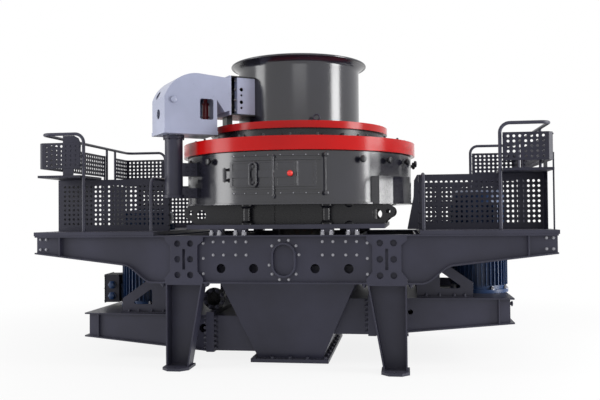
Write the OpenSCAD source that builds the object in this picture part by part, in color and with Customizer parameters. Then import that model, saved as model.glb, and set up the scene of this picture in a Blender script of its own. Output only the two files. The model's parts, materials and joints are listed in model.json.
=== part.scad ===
// Vertical shaft impact crusher: a drum-shaped crushing chamber on a four-legged
// girder frame, with a belt drive box and a standing motor on each side, guarded
// service decks, and a feed hopper whose lid is lifted and swung by a jib.
// Frame: +Z up, -Y is the front, origin on the ground at the middle of the four feet.

/* [Frame] */
// Length of the two main girders
girder_len = 4976; // [4600:2:5400]
// Distance over the outer faces of the girder webs
frame_dep = 2140; // [1900:10:2400]
// Height of the girders' top face above the ground
girder_top = 1272; // [1200:5:1400]
// Depth of the girders at the middle
girder_deep = 457; // [400:5:500]
// Depth of the girder arms at their tips
arm_tip_deep = 177; // [140:5:220]
// Depth of the girder arms where they meet the curved haunch
arm_root_deep = 287; // [250:5:320]
// Half length of the deep middle part of the girders
haunch_in = 1280; // [1250:5:1320]
// Half length at which the curved haunch ends
haunch_out = 1580; // [1500:5:1650]
// Width of the girder flanges
flange_w = 120; // [90:5:150]
// Thickness of the girder flanges
flange_t = 14; // [10:1:20]
// Thickness of the girder webs
web_t = 12; // [8:1:18]

/* [Legs] */
// Distance from the middle to the upright outer face of a leg
leg_out = 1145; // [1100:5:1200]
// Distance from the middle to the inner face of a leg at its top
leg_in_top = 785; // [740:5:820]
// Distance from the middle to the inner face of a leg at its foot
leg_in_foot = 925; // [880:5:960]
// Depth of the leg channel from front to back
leg_dep = 160; // [120:5:200]
// How far the leg channel stands proud of the girder web
leg_proud = 50; // [30:5:80]
// Thickness of the leg plates
leg_t = 14; // [10:1:20]
// Thickness of the foot plates
foot_t = 25; // [16:1:40]
// Radius of the anchor holes in the feet
anchor_r = 14; // [10:1:18]
// Thickness of the waisted head plates over the legs
head_t = 16; // [12:1:22]

/* [Chamber] */
// Radius of the crushing drum
drum_r = 1205; // [1150:5:1240]
// Height of the drum's bottom above the ground
drum_bottom = 1561; // [1520:1:1600]
// Height of the drum
drum_h = 501; // [440:1:560]
// Thickness of the drum's wall
drum_wall = 25; // [16:1:40]
// Radius of the narrow base cylinder under the drum
base_r = 840; // [800:5:880]
// Half width of the square seat plate
seat_half = 950; // [920:5:1000]
// Thickness of the seat plate
seat_t = 42; // [30:1:50]
// Height of the pads between the girders and the seat plate
pad_h = 58; // [40:1:80]
// Radius of the rotor inside the drum
rotor_r = 430; // [380:5:500]

/* [Lid] */
// Gap between the drum and the lid that swings over it
lid_gap = 5; // [3:0.5:10]
// How far the large ring of the lid stands out beyond the drum
ring_out = 40; // [25:5:75]
// Height of the large ring
ring_h = 133; // [100:1:160]
// Radius of the small ring at the top of the crown
top_ring_r = 955; // [920:5:1000]
// Height of the small ring
top_ring_h = 70; // [50:1:90]
// Height of the dark crown between the two rings
crown_h = 105; // [80:1:130]
// Radius of the hopper
hopper_r = 655; // [600:5:700]
// Height of the hopper above the small ring
hopper_h = 700; // [600:5:800]
// How far the hopper's rim flares out
rim_out = 85; // [60:5:110]
// Thickness of the hopper's sheet
hopper_t = 10; // [6:1:14]
// Radius of the feed hole in the lid
feed_r = 260; // [200:5:320]

/* [Jib] */
// Distance from the lid's large ring to the column's axis
column_off = 182; // [160:1:240]
// Direction of the jib from the column to the drum's axis, from +X towards +Y
jib_deg = 36.565; // [30:0.005:45]
// Radius of the jib column
column_r = 89; // [70:1:100]
// Radius of the lifting rod in the column
rod_r = 55; // [40:1:60]
// Running clearance round the lifting rod
rod_gap = 0.1; // [0.05:0.05:0.5]
// Width of the jib box over its side plates
jib_w = 403; // [300:1:440]
// Thickness of the jib box's plates
jib_t = 10; // [6:1:14]

/* [Hatch] */
// Angle of the hatch's hinge on the drum, to the left of the front
hinge_deg = 27; // [25:1:30]
// Angle of the door's hinge-side edge
door_left_deg = 24.5; // [23:0.5:25]
// Angle of the door's free edge, to the right of the front
door_right_deg = 15.5; // [12:0.5:17]
// Height of the door's lower edge above the ground
door_bottom = 1727; // [1710:1:1740]
// Height of the door
door_h = 238; // [200:1:260]
// Thickness of the door
door_t = 16; // [10:1:20]

/* [Drive] */
// Height of the left drive box's top above the ground
box_top_left = 467; // [420:1:480]
// Height of the right drive box's top above the ground
box_top_right = 650; // [600:5:680]
// Height of the drive boxes at their outer tips
box_tip_h = 245; // [190:5:280]
// Height of the drive boxes at the bolted joint
box_root_h = 360; // [300:5:380]
// Distance from the middle to the drive boxes' tips
box_tip = 2160; // [2100:5:2250]
// Distance from the middle to the bolted joint of the drive boxes
box_joint = 850; // [820:5:900]
// Half depth of the drive boxes at their tips
box_half_tip = 700; // [640:5:740]
// Half depth of the drive boxes at the joint
box_half_root = 760; // [745:5:800]
// How far the box's plates stand out beyond its walls
box_lip = 36; // [30:2:80]
// Thickness of the box's top and bottom plates
box_plate_t = 14; // [8:1:20]
// Distance of the left motor from the middle
motor_x_left = 1720; // [1700:2:1880]
// Distance of the right motor from the middle
motor_x_right = 1900; // [1860:2:1920]
// Radius of the motors' bodies
motor_r = 262; // [230:2:270]
// Height of the motors
motor_h = 1060; // [980:10:1150]
// How far the cooling fins stand out
fin_h = 28; // [15:1:35]

/* [Decks] */
// How far the decks reach beyond the girders' ends
deck_over = 12; // [6:2:60]
// Distance from the middle to the decks' inner edges
deck_in = 1270; // [1260:5:1285]
// Distance from the middle to the decks' front edges
deck_front = 1115; // [1100:5:1125]
// Distance from the middle to the decks' back edges
deck_back = 1240; // [1200:5:1260]
// Thickness of the deck frame
deck_t = 38; // [30:1:50]
// Height of the perforated guards
guard_h = 537; // [480:1:600]
// Thickness of the perforated sheets
sheet_t = 4; // [3:0.5:6]
// Distance between the holes in the guards
hole_pitch = 48.5; // [44:0.5:60]
// Diameter of the holes in the guards
hole_d = 25; // [16:1:32]
// Height of the handrail above the deck
rail_h = 987; // [900:1:1100]
// Radius of the handrail tubes
rail_r = 16; // [12:1:20]
// Distance from the middle to the handrail's front inner posts
rail_in = 1995; // [1980:5:2040]
// Distance from the middle to the handrail's back inner posts
rail_in_back = 1935; // [1900:5:1980]
// Distance from the middle to the guards' front sheets
guard_y = 620; // [560:5:680]

/* [Hidden] */
$fn = 72;
eps = 0.01;
big = 6000;

half_len = girder_len / 2;
deck_end = half_len + deck_over;
deck_dep = deck_front + deck_back;
ring_r = drum_r + ring_out;
web_y = frame_dep / 2;
girder_bottom = girder_top - girder_deep;
seat_bottom = girder_top + pad_h;
seat_top = seat_bottom + seat_t;
drum_top = drum_bottom + drum_h;
lid_bottom = drum_top + lid_gap;
ring_top = lid_bottom + ring_h;
crown_top = ring_top + crown_h;
hopper_bottom = crown_top + top_ring_h;
hopper_top = hopper_bottom + hopper_h;
deck_top = girder_top + deck_t;
guard_top = deck_top + guard_h;
rail_top = deck_top + rail_h;

// the jib points from the column to the drum's axis
jib_reach = ring_r + column_off;
column_x = jib_reach * cos(jib_deg);
column_y = jib_reach * sin(jib_deg);
column_gap = 6;
jib_rise = 68;
jib_plate_t = 38;
jib_base = ring_top + jib_rise;

// ---------- helpers ----------

// the children on the right side, or mirrored to the left
module sided(side) {
  if (side < 0) mirror([1, 0, 0]) children();
  else children();
}

// the children at the front, or mirrored to the back
module fronted(front) {
  if (front) children();
  else mirror([0, 1, 0]) children();
}

// a flat shape drawn in X and Z, made t thick from y0 towards +Y
module upright(y0, t) {
  translate([0, y0 + t, 0]) rotate([90, 0, 0]) linear_extrude(t) children();
}

// a flat shape drawn in Y and Z, made t thick from x0 towards +X
module crosswise(x0, t) {
  translate([x0, 0, 0]) rotate([90, 0, 90]) linear_extrude(t) children();
}

// a ring or part of a ring about the Z axis, angle 0 at the front
module arc_band(r_in, r_out, z0, h, from_deg, to_deg) {
  translate([0, 0, z0]) rotate([0, 0, from_deg - 90])
    rotate_extrude(angle = to_deg - from_deg)
      translate([r_in, 0]) square([r_out - r_in, h]);
}

// a tube about the Z axis
module tube(r_out, r_in, h) {
  difference() {
    cylinder(h = h, r = r_out);
    translate([0, 0, -1]) cylinder(h = h + 2, r = r_in);
  }
}

// a flat ring of evenly spaced copies
module round_array(n, r, start = 0) {
  for (i = [0 : n - 1]) rotate([0, 0, start + i * 360 / n]) translate([r, 0, 0]) children();
}

// a sheet drawn in the plane, w wide and h high from its corner, with rows of
// holes centred on it, step_x and step_y apart, and a plain margin round them
module perforated(w, h, margin, step_x, step_y) {
  nx = floor((w - 2 * margin) / step_x) + 1;
  ny = floor((h - 2 * margin) / step_y) + 1;
  difference() {
    square([w, h]);
    for (i = [0 : nx - 1], j = [0 : ny - 1])
      translate([w / 2 + (i - (nx - 1) / 2) * step_x, h / 2 + (j - (ny - 1) / 2) * step_y])
        circle(d = hole_d, $fn = 16);
  }
}

// ---------- frame ----------

// depth of a girder at a distance x from the middle: deep middle, cosine haunch,
// then an arm that gets shallower to its tip
function girder_depth(x) =
  x <= haunch_in ? girder_deep :
  x <= haunch_out ?
    arm_root_deep + (girder_deep - arm_root_deep)
      * (1 + cos(180 * (x - haunch_in) / (haunch_out - haunch_in))) / 2 :
    arm_root_deep + (arm_tip_deep - arm_root_deep) * (x - haunch_out) / (half_len - haunch_out);

haunch_steps = 10;
haunch_x = [for (i = [0 : haunch_steps]) haunch_in + (haunch_out - haunch_in) * i / haunch_steps];
girder_under = concat(
  [[half_len, girder_top - arm_tip_deep]],
  [for (i = [haunch_steps : -1 : 0]) [haunch_x[i], girder_top - girder_depth(haunch_x[i])]],
  [for (x = haunch_x) [-x, girder_top - girder_depth(x)]],
  [[-half_len, girder_top - arm_tip_deep]]
);

module girder_outline() {
  polygon(concat([[-half_len, girder_top], [half_len, girder_top]], girder_under));
}

// round and oval openings in the middle of the web
port_z = 1037;
port_a = 98;
port_b = 147;
web_hole_x = [295, 612];
web_hole_z = 955;
web_hole_r = 44;
tip_rib_x = 2225;
flange_y = -web_y - leg_proud;

module girder() {
  color([0.33, 0.33, 0.37]) difference() {
    union() {
      // web
      upright(-web_y, web_t) girder_outline();
      // bottom flange follows the outline, top flange is straight
      upright(flange_y, flange_w) difference() {
        girder_outline();
        translate([0, flange_t]) girder_outline();
      }
      upright(flange_y, flange_w)
        translate([-half_len, girder_top - flange_t]) square([girder_len, flange_t]);
      // web stiffeners near the arm tips
      for (side = [-1, 1]) sided(side)
        translate([tip_rib_x, flange_y + 4, girder_top - girder_depth(tip_rib_x) + flange_t - 1])
          cube([web_t, flange_w - 8, girder_depth(tip_rib_x) - 2 * flange_t + 2]);
    }
    for (x = web_hole_x, side = [-1, 1])
      translate([side * x, -web_y - 1, web_hole_z]) rotate([-90, 0, 0])
        cylinder(h = web_t + 2, r = web_hole_r);
    translate([0, -web_y - 1, port_z]) rotate([-90, 0, 0])
      linear_extrude(web_t + 2) port_shape(port_a, port_b);
  }
}

// a stadium a wide and b high to each side
module port_shape(a, b) {
  for (s = [-1, 1]) translate([0, s * (b - a)]) circle(r = a);
  square([2 * a, 2 * (b - a)], center = true);
}

module front_girder() { girder(); }
module back_girder() { mirror([0, 1, 0]) girder(); }

// the oval ports: a short neck that stands out of each web
port_proud = 45;
port_wall = 17;
module girder_ports() {
  color([0.36, 0.36, 0.4]) for (front = [true, false]) fronted(front)
    translate([0, -web_y - port_proud, port_z]) rotate([-90, 0, 0]) {
      linear_extrude(port_proud) difference() {
        port_shape(port_a + port_wall, port_b + port_wall);
        port_shape(port_a, port_b);
      }
      // the closing plate sits inside the neck
      translate([0, 0, port_proud + web_t - 8])
        linear_extrude(8) port_shape(port_a, port_b);
    }
}

// plates between the two webs: beside the chute, outside the legs and at the ends
beam_x = [673, 1235];
beam_t = 16;
module cross_beams() {
  beam_y = web_y - web_t;
  color([0.3, 0.3, 0.34]) {
    for (x = beam_x, side = [-1, 1])
      translate([side * x - beam_t / 2, -beam_y, girder_bottom + flange_t])
        cube([beam_t, 2 * beam_y, girder_deep - 2 * flange_t]);
    for (side = [-1, 1]) sided(side)
      translate([half_len - beam_t, -beam_y, girder_top - arm_tip_deep + flange_t])
        cube([beam_t, 2 * beam_y, arm_tip_deep - 2 * flange_t]);
  }
}

// waisted plates between the flanges over the legs, flush with the flange edges
head_mid = (leg_out + leg_in_top) / 2;
head_half = 188;
head_waist = 133;
head_low = girder_bottom + flange_t;
head_high = girder_top - flange_t;
head_hole_x = 63;
head_hole_z = girder_top - 226;
head_hole_pitch = 150;
head_hole_r = 31;
head_slot = [28, 196];
module head_outline() {
  half = [[head_low, head_half], [head_low + 36, head_half], [head_low + 100, head_waist],
    [head_high - 82, head_waist], [head_high - 36, head_half], [head_high, head_half]];
  polygon(concat(
    [for (p = half) [head_mid + p[1], p[0]]],
    [for (i = [len(half) - 1 : -1 : 0]) [head_mid - half[i][1], half[i][0]]]
  ));
}

module head_plates() {
  color([0.36, 0.36, 0.4]) for (side = [-1, 1], front = [true, false]) sided(side) fronted(front)
    upright(flange_y, head_t) difference() {
      head_outline();
      for (x = [-1, 1], z = [-1, 0, 1])
        translate([head_mid + x * head_hole_x, head_hole_z + z * head_hole_pitch])
          circle(r = head_hole_r);
      translate([head_mid - head_slot[0] / 2, head_hole_z - head_slot[1] / 2]) square(head_slot);
    }
}

// ---------- legs ----------

foot_front = 115;
foot_chamfer = 70;
foot_edge = 20;
anchor_y = web_y + leg_proud + 60;
anchor_x = (leg_out + leg_in_foot) / 2;

module leg_section(inset) {
  polygon([
    [leg_out - inset, foot_t - eps], [leg_out - inset, girder_bottom + eps],
    [leg_in_top + inset, girder_bottom + eps], [leg_in_foot + inset, foot_t - eps]
  ]);
}

module leg() {
  color([0.36, 0.36, 0.4]) difference() {
    union() {
      // open channel: two side flanges and a back web
      intersection() {
        difference() {
          upright(flange_y, leg_dep) leg_section(0);
          upright(flange_y - 1, leg_dep - leg_t + 1) leg_section(leg_t);
        }
        translate([0, -big / 2, foot_t]) cube([big, big, girder_bottom - foot_t]);
      }
      // cap plate under the girder
      translate([leg_in_top, flange_y, girder_bottom - leg_t])
        cube([leg_out - leg_in_top, leg_dep, leg_t]);
      foot_plate();
    }
    translate([anchor_x, -anchor_y, -1]) cylinder(h = foot_t + 2, r = anchor_r);
  }
}

// foot plate with clipped front corners
module foot_plate() {
  x0 = leg_in_foot - foot_edge;
  x1 = leg_out + foot_edge;
  y0 = flange_y - foot_front;
  y1 = flange_y + leg_dep + foot_edge;
  linear_extrude(foot_t) polygon([
    [x0, y1], [x0, y0 + foot_chamfer], [x0 + foot_chamfer, y0], [x1 - foot_chamfer, y0],
    [x1, y0 + foot_chamfer], [x1, y1]
  ]);
}

module leg_front_left() { sided(-1) leg(); }
module leg_front_right() { sided(1) leg(); }
module leg_back_left() { sided(-1) fronted(false) leg(); }
module leg_back_right() { sided(1) fronted(false) leg(); }

// ---------- chamber ----------

pad_x = [-660, -424, 410, 650];
pad_w = 118;
pad_dep = 110;
seat_hole_r = 560;
module seat_plate() {
  color([0.42, 0.42, 0.47]) {
    difference() {
      translate([-seat_half, -web_y, seat_bottom]) cube([2 * seat_half, frame_dep, seat_t]);
      translate([0, 0, seat_bottom - 1]) cylinder(h = seat_t + 2, r = seat_hole_r);
    }
    for (x = pad_x, front = [true, false]) fronted(front)
      translate([x - pad_w / 2, -web_y + 5, girder_top]) cube([pad_w, pad_dep, pad_h + 1]);
  }
}

base_wall = 50;
base_gap = 0.02;
base_h = drum_bottom - seat_top - base_gap;
rib_t = 16;
rib_out = 1000;
bobbin_deg = [-39, -23, 23, 37];
bobbin_at = 1000;
bobbin_waist = 38;
bobbin_end = 58;
lug_y = 830;
lug_t = 22;
module chamber_base() {
  color([0.2, 0.2, 0.22]) {
    translate([0, 0, seat_top]) tube(base_r, base_r - base_wall, base_h);
    for (a = [45 : 90 : 315]) rotate([0, 0, a])
      translate([base_r - 20, -rib_t / 2, seat_top]) cube([rib_out - base_r + 20, rib_t, base_h]);
    for (a = bobbin_deg, front = [true, false]) fronted(front)
      rotate([0, 0, a]) translate([0, -bobbin_at, seat_top]) bobbin();
    for (side = [-1, 1], front = [true, false]) sided(side) fronted(front) lifting_lug();
  }
}

// a waisted column round a long bolt
module bobbin() {
  rotate_extrude() polygon([
    [0, 0], [bobbin_end, 0], [bobbin_end, 12], [bobbin_waist, 36],
    [bobbin_waist, base_h - 36], [bobbin_end, base_h - 12], [bobbin_end, base_h], [0, base_h]
  ]);
}

// an eye plate with a large and a small hole beside the base cylinder
module lifting_lug() {
  big_x = 870;
  big_z = 1465;
  big_r = 48;
  small_x = 975;
  small_z = 1490;
  small_r = 22;
  end_r = 68;
  upright(-lug_y - lug_t / 2, lug_t) difference() {
    union() {
      translate([120, seat_top]) square([small_x - 160, base_h]);
      translate([small_x, small_z]) circle(r = end_r);
      polygon([
        [base_r - 60, seat_top], [big_x + 60, seat_top], [small_x + 20, small_z - end_r + 6],
        [small_x, small_z + end_r], [base_r - 60, seat_top + base_h]
      ]);
    }
    translate([big_x, big_z]) circle(r = big_r);
    translate([small_x, small_z]) circle(r = small_r);
    translate([0, seat_top - 1]) square([sqrt(base_r * base_r - lug_y * lug_y) + 1, base_h + 2]);
  }
}

drum_lip_r = drum_r + 20;
drum_lip_t = 16;
door_hole_margin_deg = 2.5;
door_hole_margin = 14;
module drum() {
  color([0.26, 0.26, 0.29]) difference() {
    union() {
      translate([0, 0, drum_bottom]) cylinder(h = drum_h, r = drum_r, $fn = 144);
      translate([0, 0, drum_bottom]) cylinder(h = drum_lip_t, r = drum_lip_r, $fn = 144);
    }
    translate([0, 0, drum_bottom + drum_wall])
      cylinder(h = drum_h, r = drum_r - drum_wall, $fn = 144);
    translate([0, 0, drum_bottom - 1]) cylinder(h = drum_wall + 2, r = seat_hole_r);
    // opening behind the hatch door
    arc_band(drum_r - drum_wall - 10, drum_r + 10, door_bottom + door_hole_margin,
      door_h - 2 * door_hole_margin, -door_left_deg + door_hole_margin_deg,
      door_right_deg - door_hole_margin_deg);
  }
}

// a folded cover over the oil lines on the drum's right flank, in plan
cover_plan = [[700, -700], [822, -881], [897, -905], [1025, -800], [1187, -560], [1190, -190],
  [1000, -200]];
cover_h = 267;
module side_cover() {
  color([0.24, 0.24, 0.27]) difference() {
    translate([0, 0, drum_bottom]) linear_extrude(cover_h) polygon(cover_plan);
    translate([0, 0, drum_bottom - 1]) cylinder(h = cover_h + 2, r = drum_r, $fn = 144);
    translate([0, 0, drum_bottom - 1]) cylinder(h = drum_lip_t + 1, r = drum_lip_r, $fn = 144);
  }
}

// curved rails above and below the hatch, and the upright lock bar
rail_bar = 13;
frame_rail_z = [1660, 1703, 1974, 2014];
frame_left_deg = 23.5;
frame_right_deg = 18;
lock_deg = 19.5;
lock_r = 9;
module hatch_frame() {
  color([0.3, 0.3, 0.33]) {
    for (z = frame_rail_z)
      arc_band(drum_r, drum_r + 20, z, rail_bar, -frame_left_deg, frame_right_deg);
    // the other fittings end on the drum's wall
    difference() {
      union() {
        lock_bar();
        for (z = [door_mid - 62, door_mid + 38]) hinge_leaf(z, 24);
      }
      translate([0, 0, drum_bottom]) cylinder(h = drum_h, r = drum_r, $fn = 144);
    }
  }
}

// upright lock bar on two stand-offs
module lock_bar() {
  rotate([0, 0, lock_deg - 90]) {
    translate([drum_r + 24, 0, frame_rail_z[0] - 4])
      cylinder(h = frame_rail_z[3] - frame_rail_z[0] + 20, r = lock_r);
    for (z = [frame_rail_z[0] + 6, frame_rail_z[3] + 6])
      translate([drum_r - 2, 0, z]) rotate([0, 90, 0]) cylinder(h = 40, r = 14);
  }
}

// hinge: knuckles round a pin that stands off the drum
hinge_off = 34;
pin_r = 9;
pin_gap = 0.1;
pin_half = 70;
knuckle_r = 18;
door_mid = door_bottom + door_h / 2;
hinge_axis = [
  -(drum_r + hinge_off) * sin(hinge_deg), -(drum_r + hinge_off) * cos(hinge_deg)
];
module hinge_leaf(z, h) {
  rotate([0, 0, -hinge_deg - 90]) difference() {
    union() {
      translate([drum_r + hinge_off, 0, z]) cylinder(h = h, r = knuckle_r);
      translate([drum_r - 2, -knuckle_r, z]) cube([hinge_off + 2, 2 * knuckle_r, h]);
    }
    translate([drum_r + hinge_off, 0, z - 1]) cylinder(h = h + 2, r = pin_r);
  }
}

door_gap = 5;
strap_h = 66;
strap_end_deg = 3;
knuckle_half = strap_h / 2 + 2;
knob_r = 27;
knob_off = 52;
knob_flat = 1.5;
module hatch_door() {
  skin_in = drum_r + door_gap;
  skin_out = skin_in + door_t;
  color([0.3, 0.3, 0.33]) {
    difference() {
      arc_band(skin_in, skin_out, door_bottom, door_h, -door_left_deg, door_right_deg);
      // four shallow panels
      for (a = [[-23, -13], [-9.5, -4.5], [-1.5, 6], [8, 14.5]])
        arc_band(skin_out - 5, skin_out + 5, door_bottom + 14, door_h - 28, a[0], a[1]);
    }
    // strap from the hinge, its knuckle and the pin
    arc_band(skin_out - 6, skin_out + 12, door_mid - strap_h / 2, strap_h, -hinge_deg, strap_end_deg);
    translate([hinge_axis[0], hinge_axis[1], door_mid - knuckle_half])
      cylinder(h = 2 * knuckle_half, r = knuckle_r);
    translate([hinge_axis[0], hinge_axis[1], door_mid - pin_half])
      cylinder(h = 2 * pin_half, r = pin_r - pin_gap);
    // upright bars and the clamp knob
    for (b = [[-3.2, 14, 1642, 2000], [7.2, 4, door_bottom + 4, door_bottom + door_h - 4]])
      rotate([0, 0, b[0] - 90]) translate([skin_out + b[1], 0, b[2]])
        cylinder(h = b[3] - b[2], r = 9);
    rotate([0, 0, 4.3 - 90]) translate([skin_out - 6, 0, door_mid]) rotate([0, 90, 0])
      cylinder(h = knob_off, r = 12);
  }
  // ball knob with a small flat at its tip
  color([0.85, 0.1, 0.1]) rotate([0, 0, 4.3 - 90])
    translate([skin_out + knob_off, 0, door_mid]) rotate([0, 90, 0]) difference() {
      sphere(r = knob_r, $fn = 32);
      translate([-knob_r, -knob_r, knob_r - knob_flat]) cube([2 * knob_r, 2 * knob_r, knob_r]);
    }
}

module rotor() {
  rotor_h = 300;
  z0 = drum_bottom + 70;
  port_n = 3;
  color([0.4, 0.38, 0.36]) {
    difference() {
      translate([0, 0, z0]) cylinder(h = rotor_h, r = rotor_r);
      translate([0, 0, z0 + 40]) cylinder(h = rotor_h, r = 190);
      round_array(port_n, 150, 20) translate([0, -70, z0 + 60]) cube([rotor_r, 140, 180]);
    }
    // shaft down to the bearing housing
    translate([0, 0, seat_top]) cylinder(h = z0 - seat_top + 1, r = 90);
  }
}

// ---------- discharge and bearing ----------

chute_top_x = beam_x[0] - beam_t / 2;
chute_top_y = 915;
chute_top = girder_bottom + 160;
chute_foot_x = 320;
chute_foot_y = 745;
chute_foot = 50;
chute_wall = 10;
chute_flange_t = 35;
chute_flange_out = 65;

// one side view of the chute: tapered below the girders, upright above them, with
// its half widths made smaller by d and its ends carried on by over
module chute_view(foot, top, d, over) {
  slope = (top - foot) / (girder_bottom - chute_foot);
  polygon([
    [-foot + d + slope * over, chute_foot - over], [foot - d - slope * over, chute_foot - over],
    [top - d, girder_bottom], [top - d, chute_top + over],
    [-top + d, chute_top + over], [-top + d, girder_bottom]
  ]);
}

module funnel(d, over) {
  intersection() {
    upright(-big / 2, big) chute_view(chute_foot_x, chute_top_x, d, over);
    crosswise(-big / 2, big) chute_view(chute_foot_y, chute_top_y, d, over);
  }
}

module discharge_chute() {
  color([0.4, 0.4, 0.44]) difference() {
    union() {
      funnel(0, 0);
      translate([-chute_foot_x - chute_flange_out, -chute_foot_y - chute_flange_out,
        chute_foot - chute_flange_t])
        cube([2 * (chute_foot_x + chute_flange_out), 2 * (chute_foot_y + chute_flange_out),
          chute_flange_t]);
    }
    funnel(chute_wall, chute_foot);
  }
}

bearing_r = 300;
bearing_bottom = 420;
module bearing_housing() {
  color([0.16, 0.16, 0.18]) {
    translate([0, 0, bearing_bottom]) cylinder(h = seat_top - bearing_bottom, r = 230);
    translate([0, 0, bearing_bottom]) cylinder(h = 60, r = bearing_r);
    // three spokes carry it from the seat plate's edge
    intersection() {
      round_array(3, 0, 90) translate([200, -20, seat_bottom + 2]) cube([seat_hole_r, 40, seat_t - 2]);
      cylinder(h = drum_bottom, r = seat_hole_r);
    }
  }
}

// a round flanged stub on a saddle that stands on the left drive box's joint
stub_y = 600;
stub_r = 80;
stub_len = 200;
stub_flange = 112;
stub_flange_t = 24;
stub_t = 10;
saddle_w = 76;
saddle_in = 40;
module drain_stub() {
  saddle_z = box_top_left + joint_out;
  stub_x = joint_w / 2 - box_joint;
  stub_z = saddle_z + stub_flange + 4;
  color([0.12, 0.12, 0.13]) {
    translate([stub_x, -stub_y, stub_z]) rotate([-90, 0, 0]) difference() {
      union() {
        cylinder(h = stub_flange_t, r = stub_flange);
        cylinder(h = stub_len, r = stub_r);
      }
      translate([0, 0, -1]) cylinder(h = stub_len - stub_t + 1, r = stub_r - stub_t);
    }
    difference() {
      translate([stub_x - saddle_w / 2, saddle_in - stub_y, saddle_z])
        cube([saddle_w, stub_len - saddle_in, stub_z - saddle_z]);
      translate([stub_x, -stub_y, stub_z]) rotate([-90, 0, 0])
        cylinder(h = stub_len, r = stub_r - stub_t / 2);
    }
  }
}

// ---------- drive ----------

// the space of a drive box, drawn for the right side, with its top at z
module box_space(top, lip) {
  intersection() {
    upright(-big / 2, big) polygon([
      [box_joint, top], [box_tip - lip, top], [box_tip - lip, top - box_tip_h],
      [box_joint, top - box_root_h]
    ]);
    translate([0, 0, -big / 2]) linear_extrude(big) polygon([
      [box_joint, -box_half_root + lip], [box_tip - lip, -box_half_tip + lip],
      [box_tip - lip, box_half_tip - lip], [box_joint, box_half_root - lip]
    ]);
  }
}

box_hole_x = [885, 1178];
box_hole_r = [44, 25];
box_hole_drop = 140;
module drive_box(top) {
  color([0.36, 0.36, 0.4]) difference() {
    drive_box_body(top);
    for (i = [0, 1]) translate([box_hole_x[i], -box_half_root, top - box_hole_drop])
      rotate([-90, 0, 0]) cylinder(h = 2 * box_half_root, r = box_hole_r[i]);
  }
}

module drive_box_body(top) {
  union() {
    intersection() {
      box_space(top, 0);
      translate([0, -big / 2, top - box_plate_t]) cube(big);
    }
    difference() {
      box_space(top, 0);
      translate([0, 0, box_plate_t]) box_space(top, -1);
      translate([0, -big / 2, top - 100]) cube(big);
    }
    box_space(top - 1, box_lip);
    // web stiffener near the tip
    intersection() {
      box_space(top - 1, 8);
      translate([box_tip - 150, -big / 2, 0]) cube([12, big, big]);
    }
  }
}

module drive_box_left() { sided(-1) drive_box(box_top_left); }
module drive_box_right() { drive_box(box_top_right); }

// the closed link from the bolted joint to the chute
link_half = 715;
link_drop = 12;
joint_w = 80;
joint_out = 28;
module drive_link(top) {
  z0 = top - box_root_h;
  color([0.34, 0.34, 0.38]) difference() {
    union() {
      translate([0, -link_half, z0]) cube([box_joint - joint_w, 2 * link_half, box_root_h - link_drop]);
      translate([box_joint - joint_w, -box_half_root + 5, z0 - 10])
        cube([joint_w, 2 * (box_half_root - 5), box_root_h + joint_out + 10]);
    }
    funnel(0, 1);
    translate([-big / 2, -big / 2, -big / 2]) cube([big / 2 + 330, big, big]);
  }
}

module drive_links() {
  sided(-1) drive_link(box_top_left);
  drive_link(box_top_right);
}

// triangular plates that carry the drive boxes from the cross beams
hanger_y = 600;
hanger_t = 16;
hanger_out = 1783;
hanger_low = 142;
hanger_slope = 0.7;
window_at = [1466, 82];
module hanger(top) {
  inner = beam_x[1] + beam_t / 2;
  for (front = [true, false]) fronted(front) upright(-hanger_y - hanger_t / 2, hanger_t)
    difference() {
      polygon([
        [inner, top], [hanger_out, top], [hanger_out, top + hanger_low],
        [inner, top + hanger_low + hanger_slope * (hanger_out - inner)]
      ]);
      translate([window_at[0], top + window_at[1]])
        polygon([[0, 0], [174, 0], [197, 10], [195, 28], [20, 153], [0, 145]]);
    }
}

module hanger_plates() {
  color([0.36, 0.36, 0.4]) {
    sided(-1) hanger(box_top_left);
    hanger(box_top_right);
  }
}

fin_n = 40;
fin_t = 8;
// directions in which the terminal boxes stand off the motors
terminal_deg_left = -6;
terminal_deg_right = 105;
terminal_z = 50;
terminal_face = motor_r + fin_h + 4;
terminal_w = 320;
terminal_h = 300;
terminal_dep = 155;
boss_w = 160;
module motor(top, x, deg) {
  foot_h = 36;
  body_h = motor_h - foot_h - 110;
  color([0.1, 0.25, 0.55]) translate([x, 0, top]) {
    cylinder(h = foot_h, r = motor_r + 34);
    translate([0, 0, foot_h]) cylinder(h = body_h, r = motor_r);
    round_array(fin_n, motor_r - 6) translate([0, -fin_t / 2, foot_h + 40])
      cube([fin_h + 6, fin_t, body_h - 80]);
    rotate([0, 0, deg]) translate([motor_r - 20, -boss_w / 2, terminal_z + 30])
      cube([terminal_face - motor_r + 20, boss_w, boss_w]);
    translate([0, 0, foot_h + body_h]) cylinder(h = 80, r = motor_r + 12);
    translate([0, 0, foot_h + body_h + 79]) cylinder(h = 31, r1 = motor_r + 12, r2 = motor_r - 60);
  }
}

module motor_left() { sided(-1) motor(box_top_left, motor_x_left, terminal_deg_left); }
module motor_right() { motor(box_top_right, motor_x_right, terminal_deg_right); }

gland_z = [70, 190];
gland_r = 34;
module terminal_box(top, x, deg) {
  color([0.3, 0.3, 0.34]) translate([x, 0, top + terminal_z]) rotate([0, 0, deg])
    difference() {
      translate([terminal_face, -terminal_w / 2, 0])
        cube([terminal_dep, terminal_w, terminal_h]);
      // cable gland sockets in the side towards the front
      for (z = gland_z) translate([terminal_face + terminal_dep / 2, -terminal_w / 2 - 20, z])
        rotate([-90, 0, 0]) cylinder(h = 40, r = gland_r);
    }
}

module terminal_boxes() {
  sided(-1) terminal_box(box_top_left, motor_x_left, terminal_deg_left);
  terminal_box(box_top_right, motor_x_right, terminal_deg_right);
}

// ---------- decks, guards and rails ----------

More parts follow.
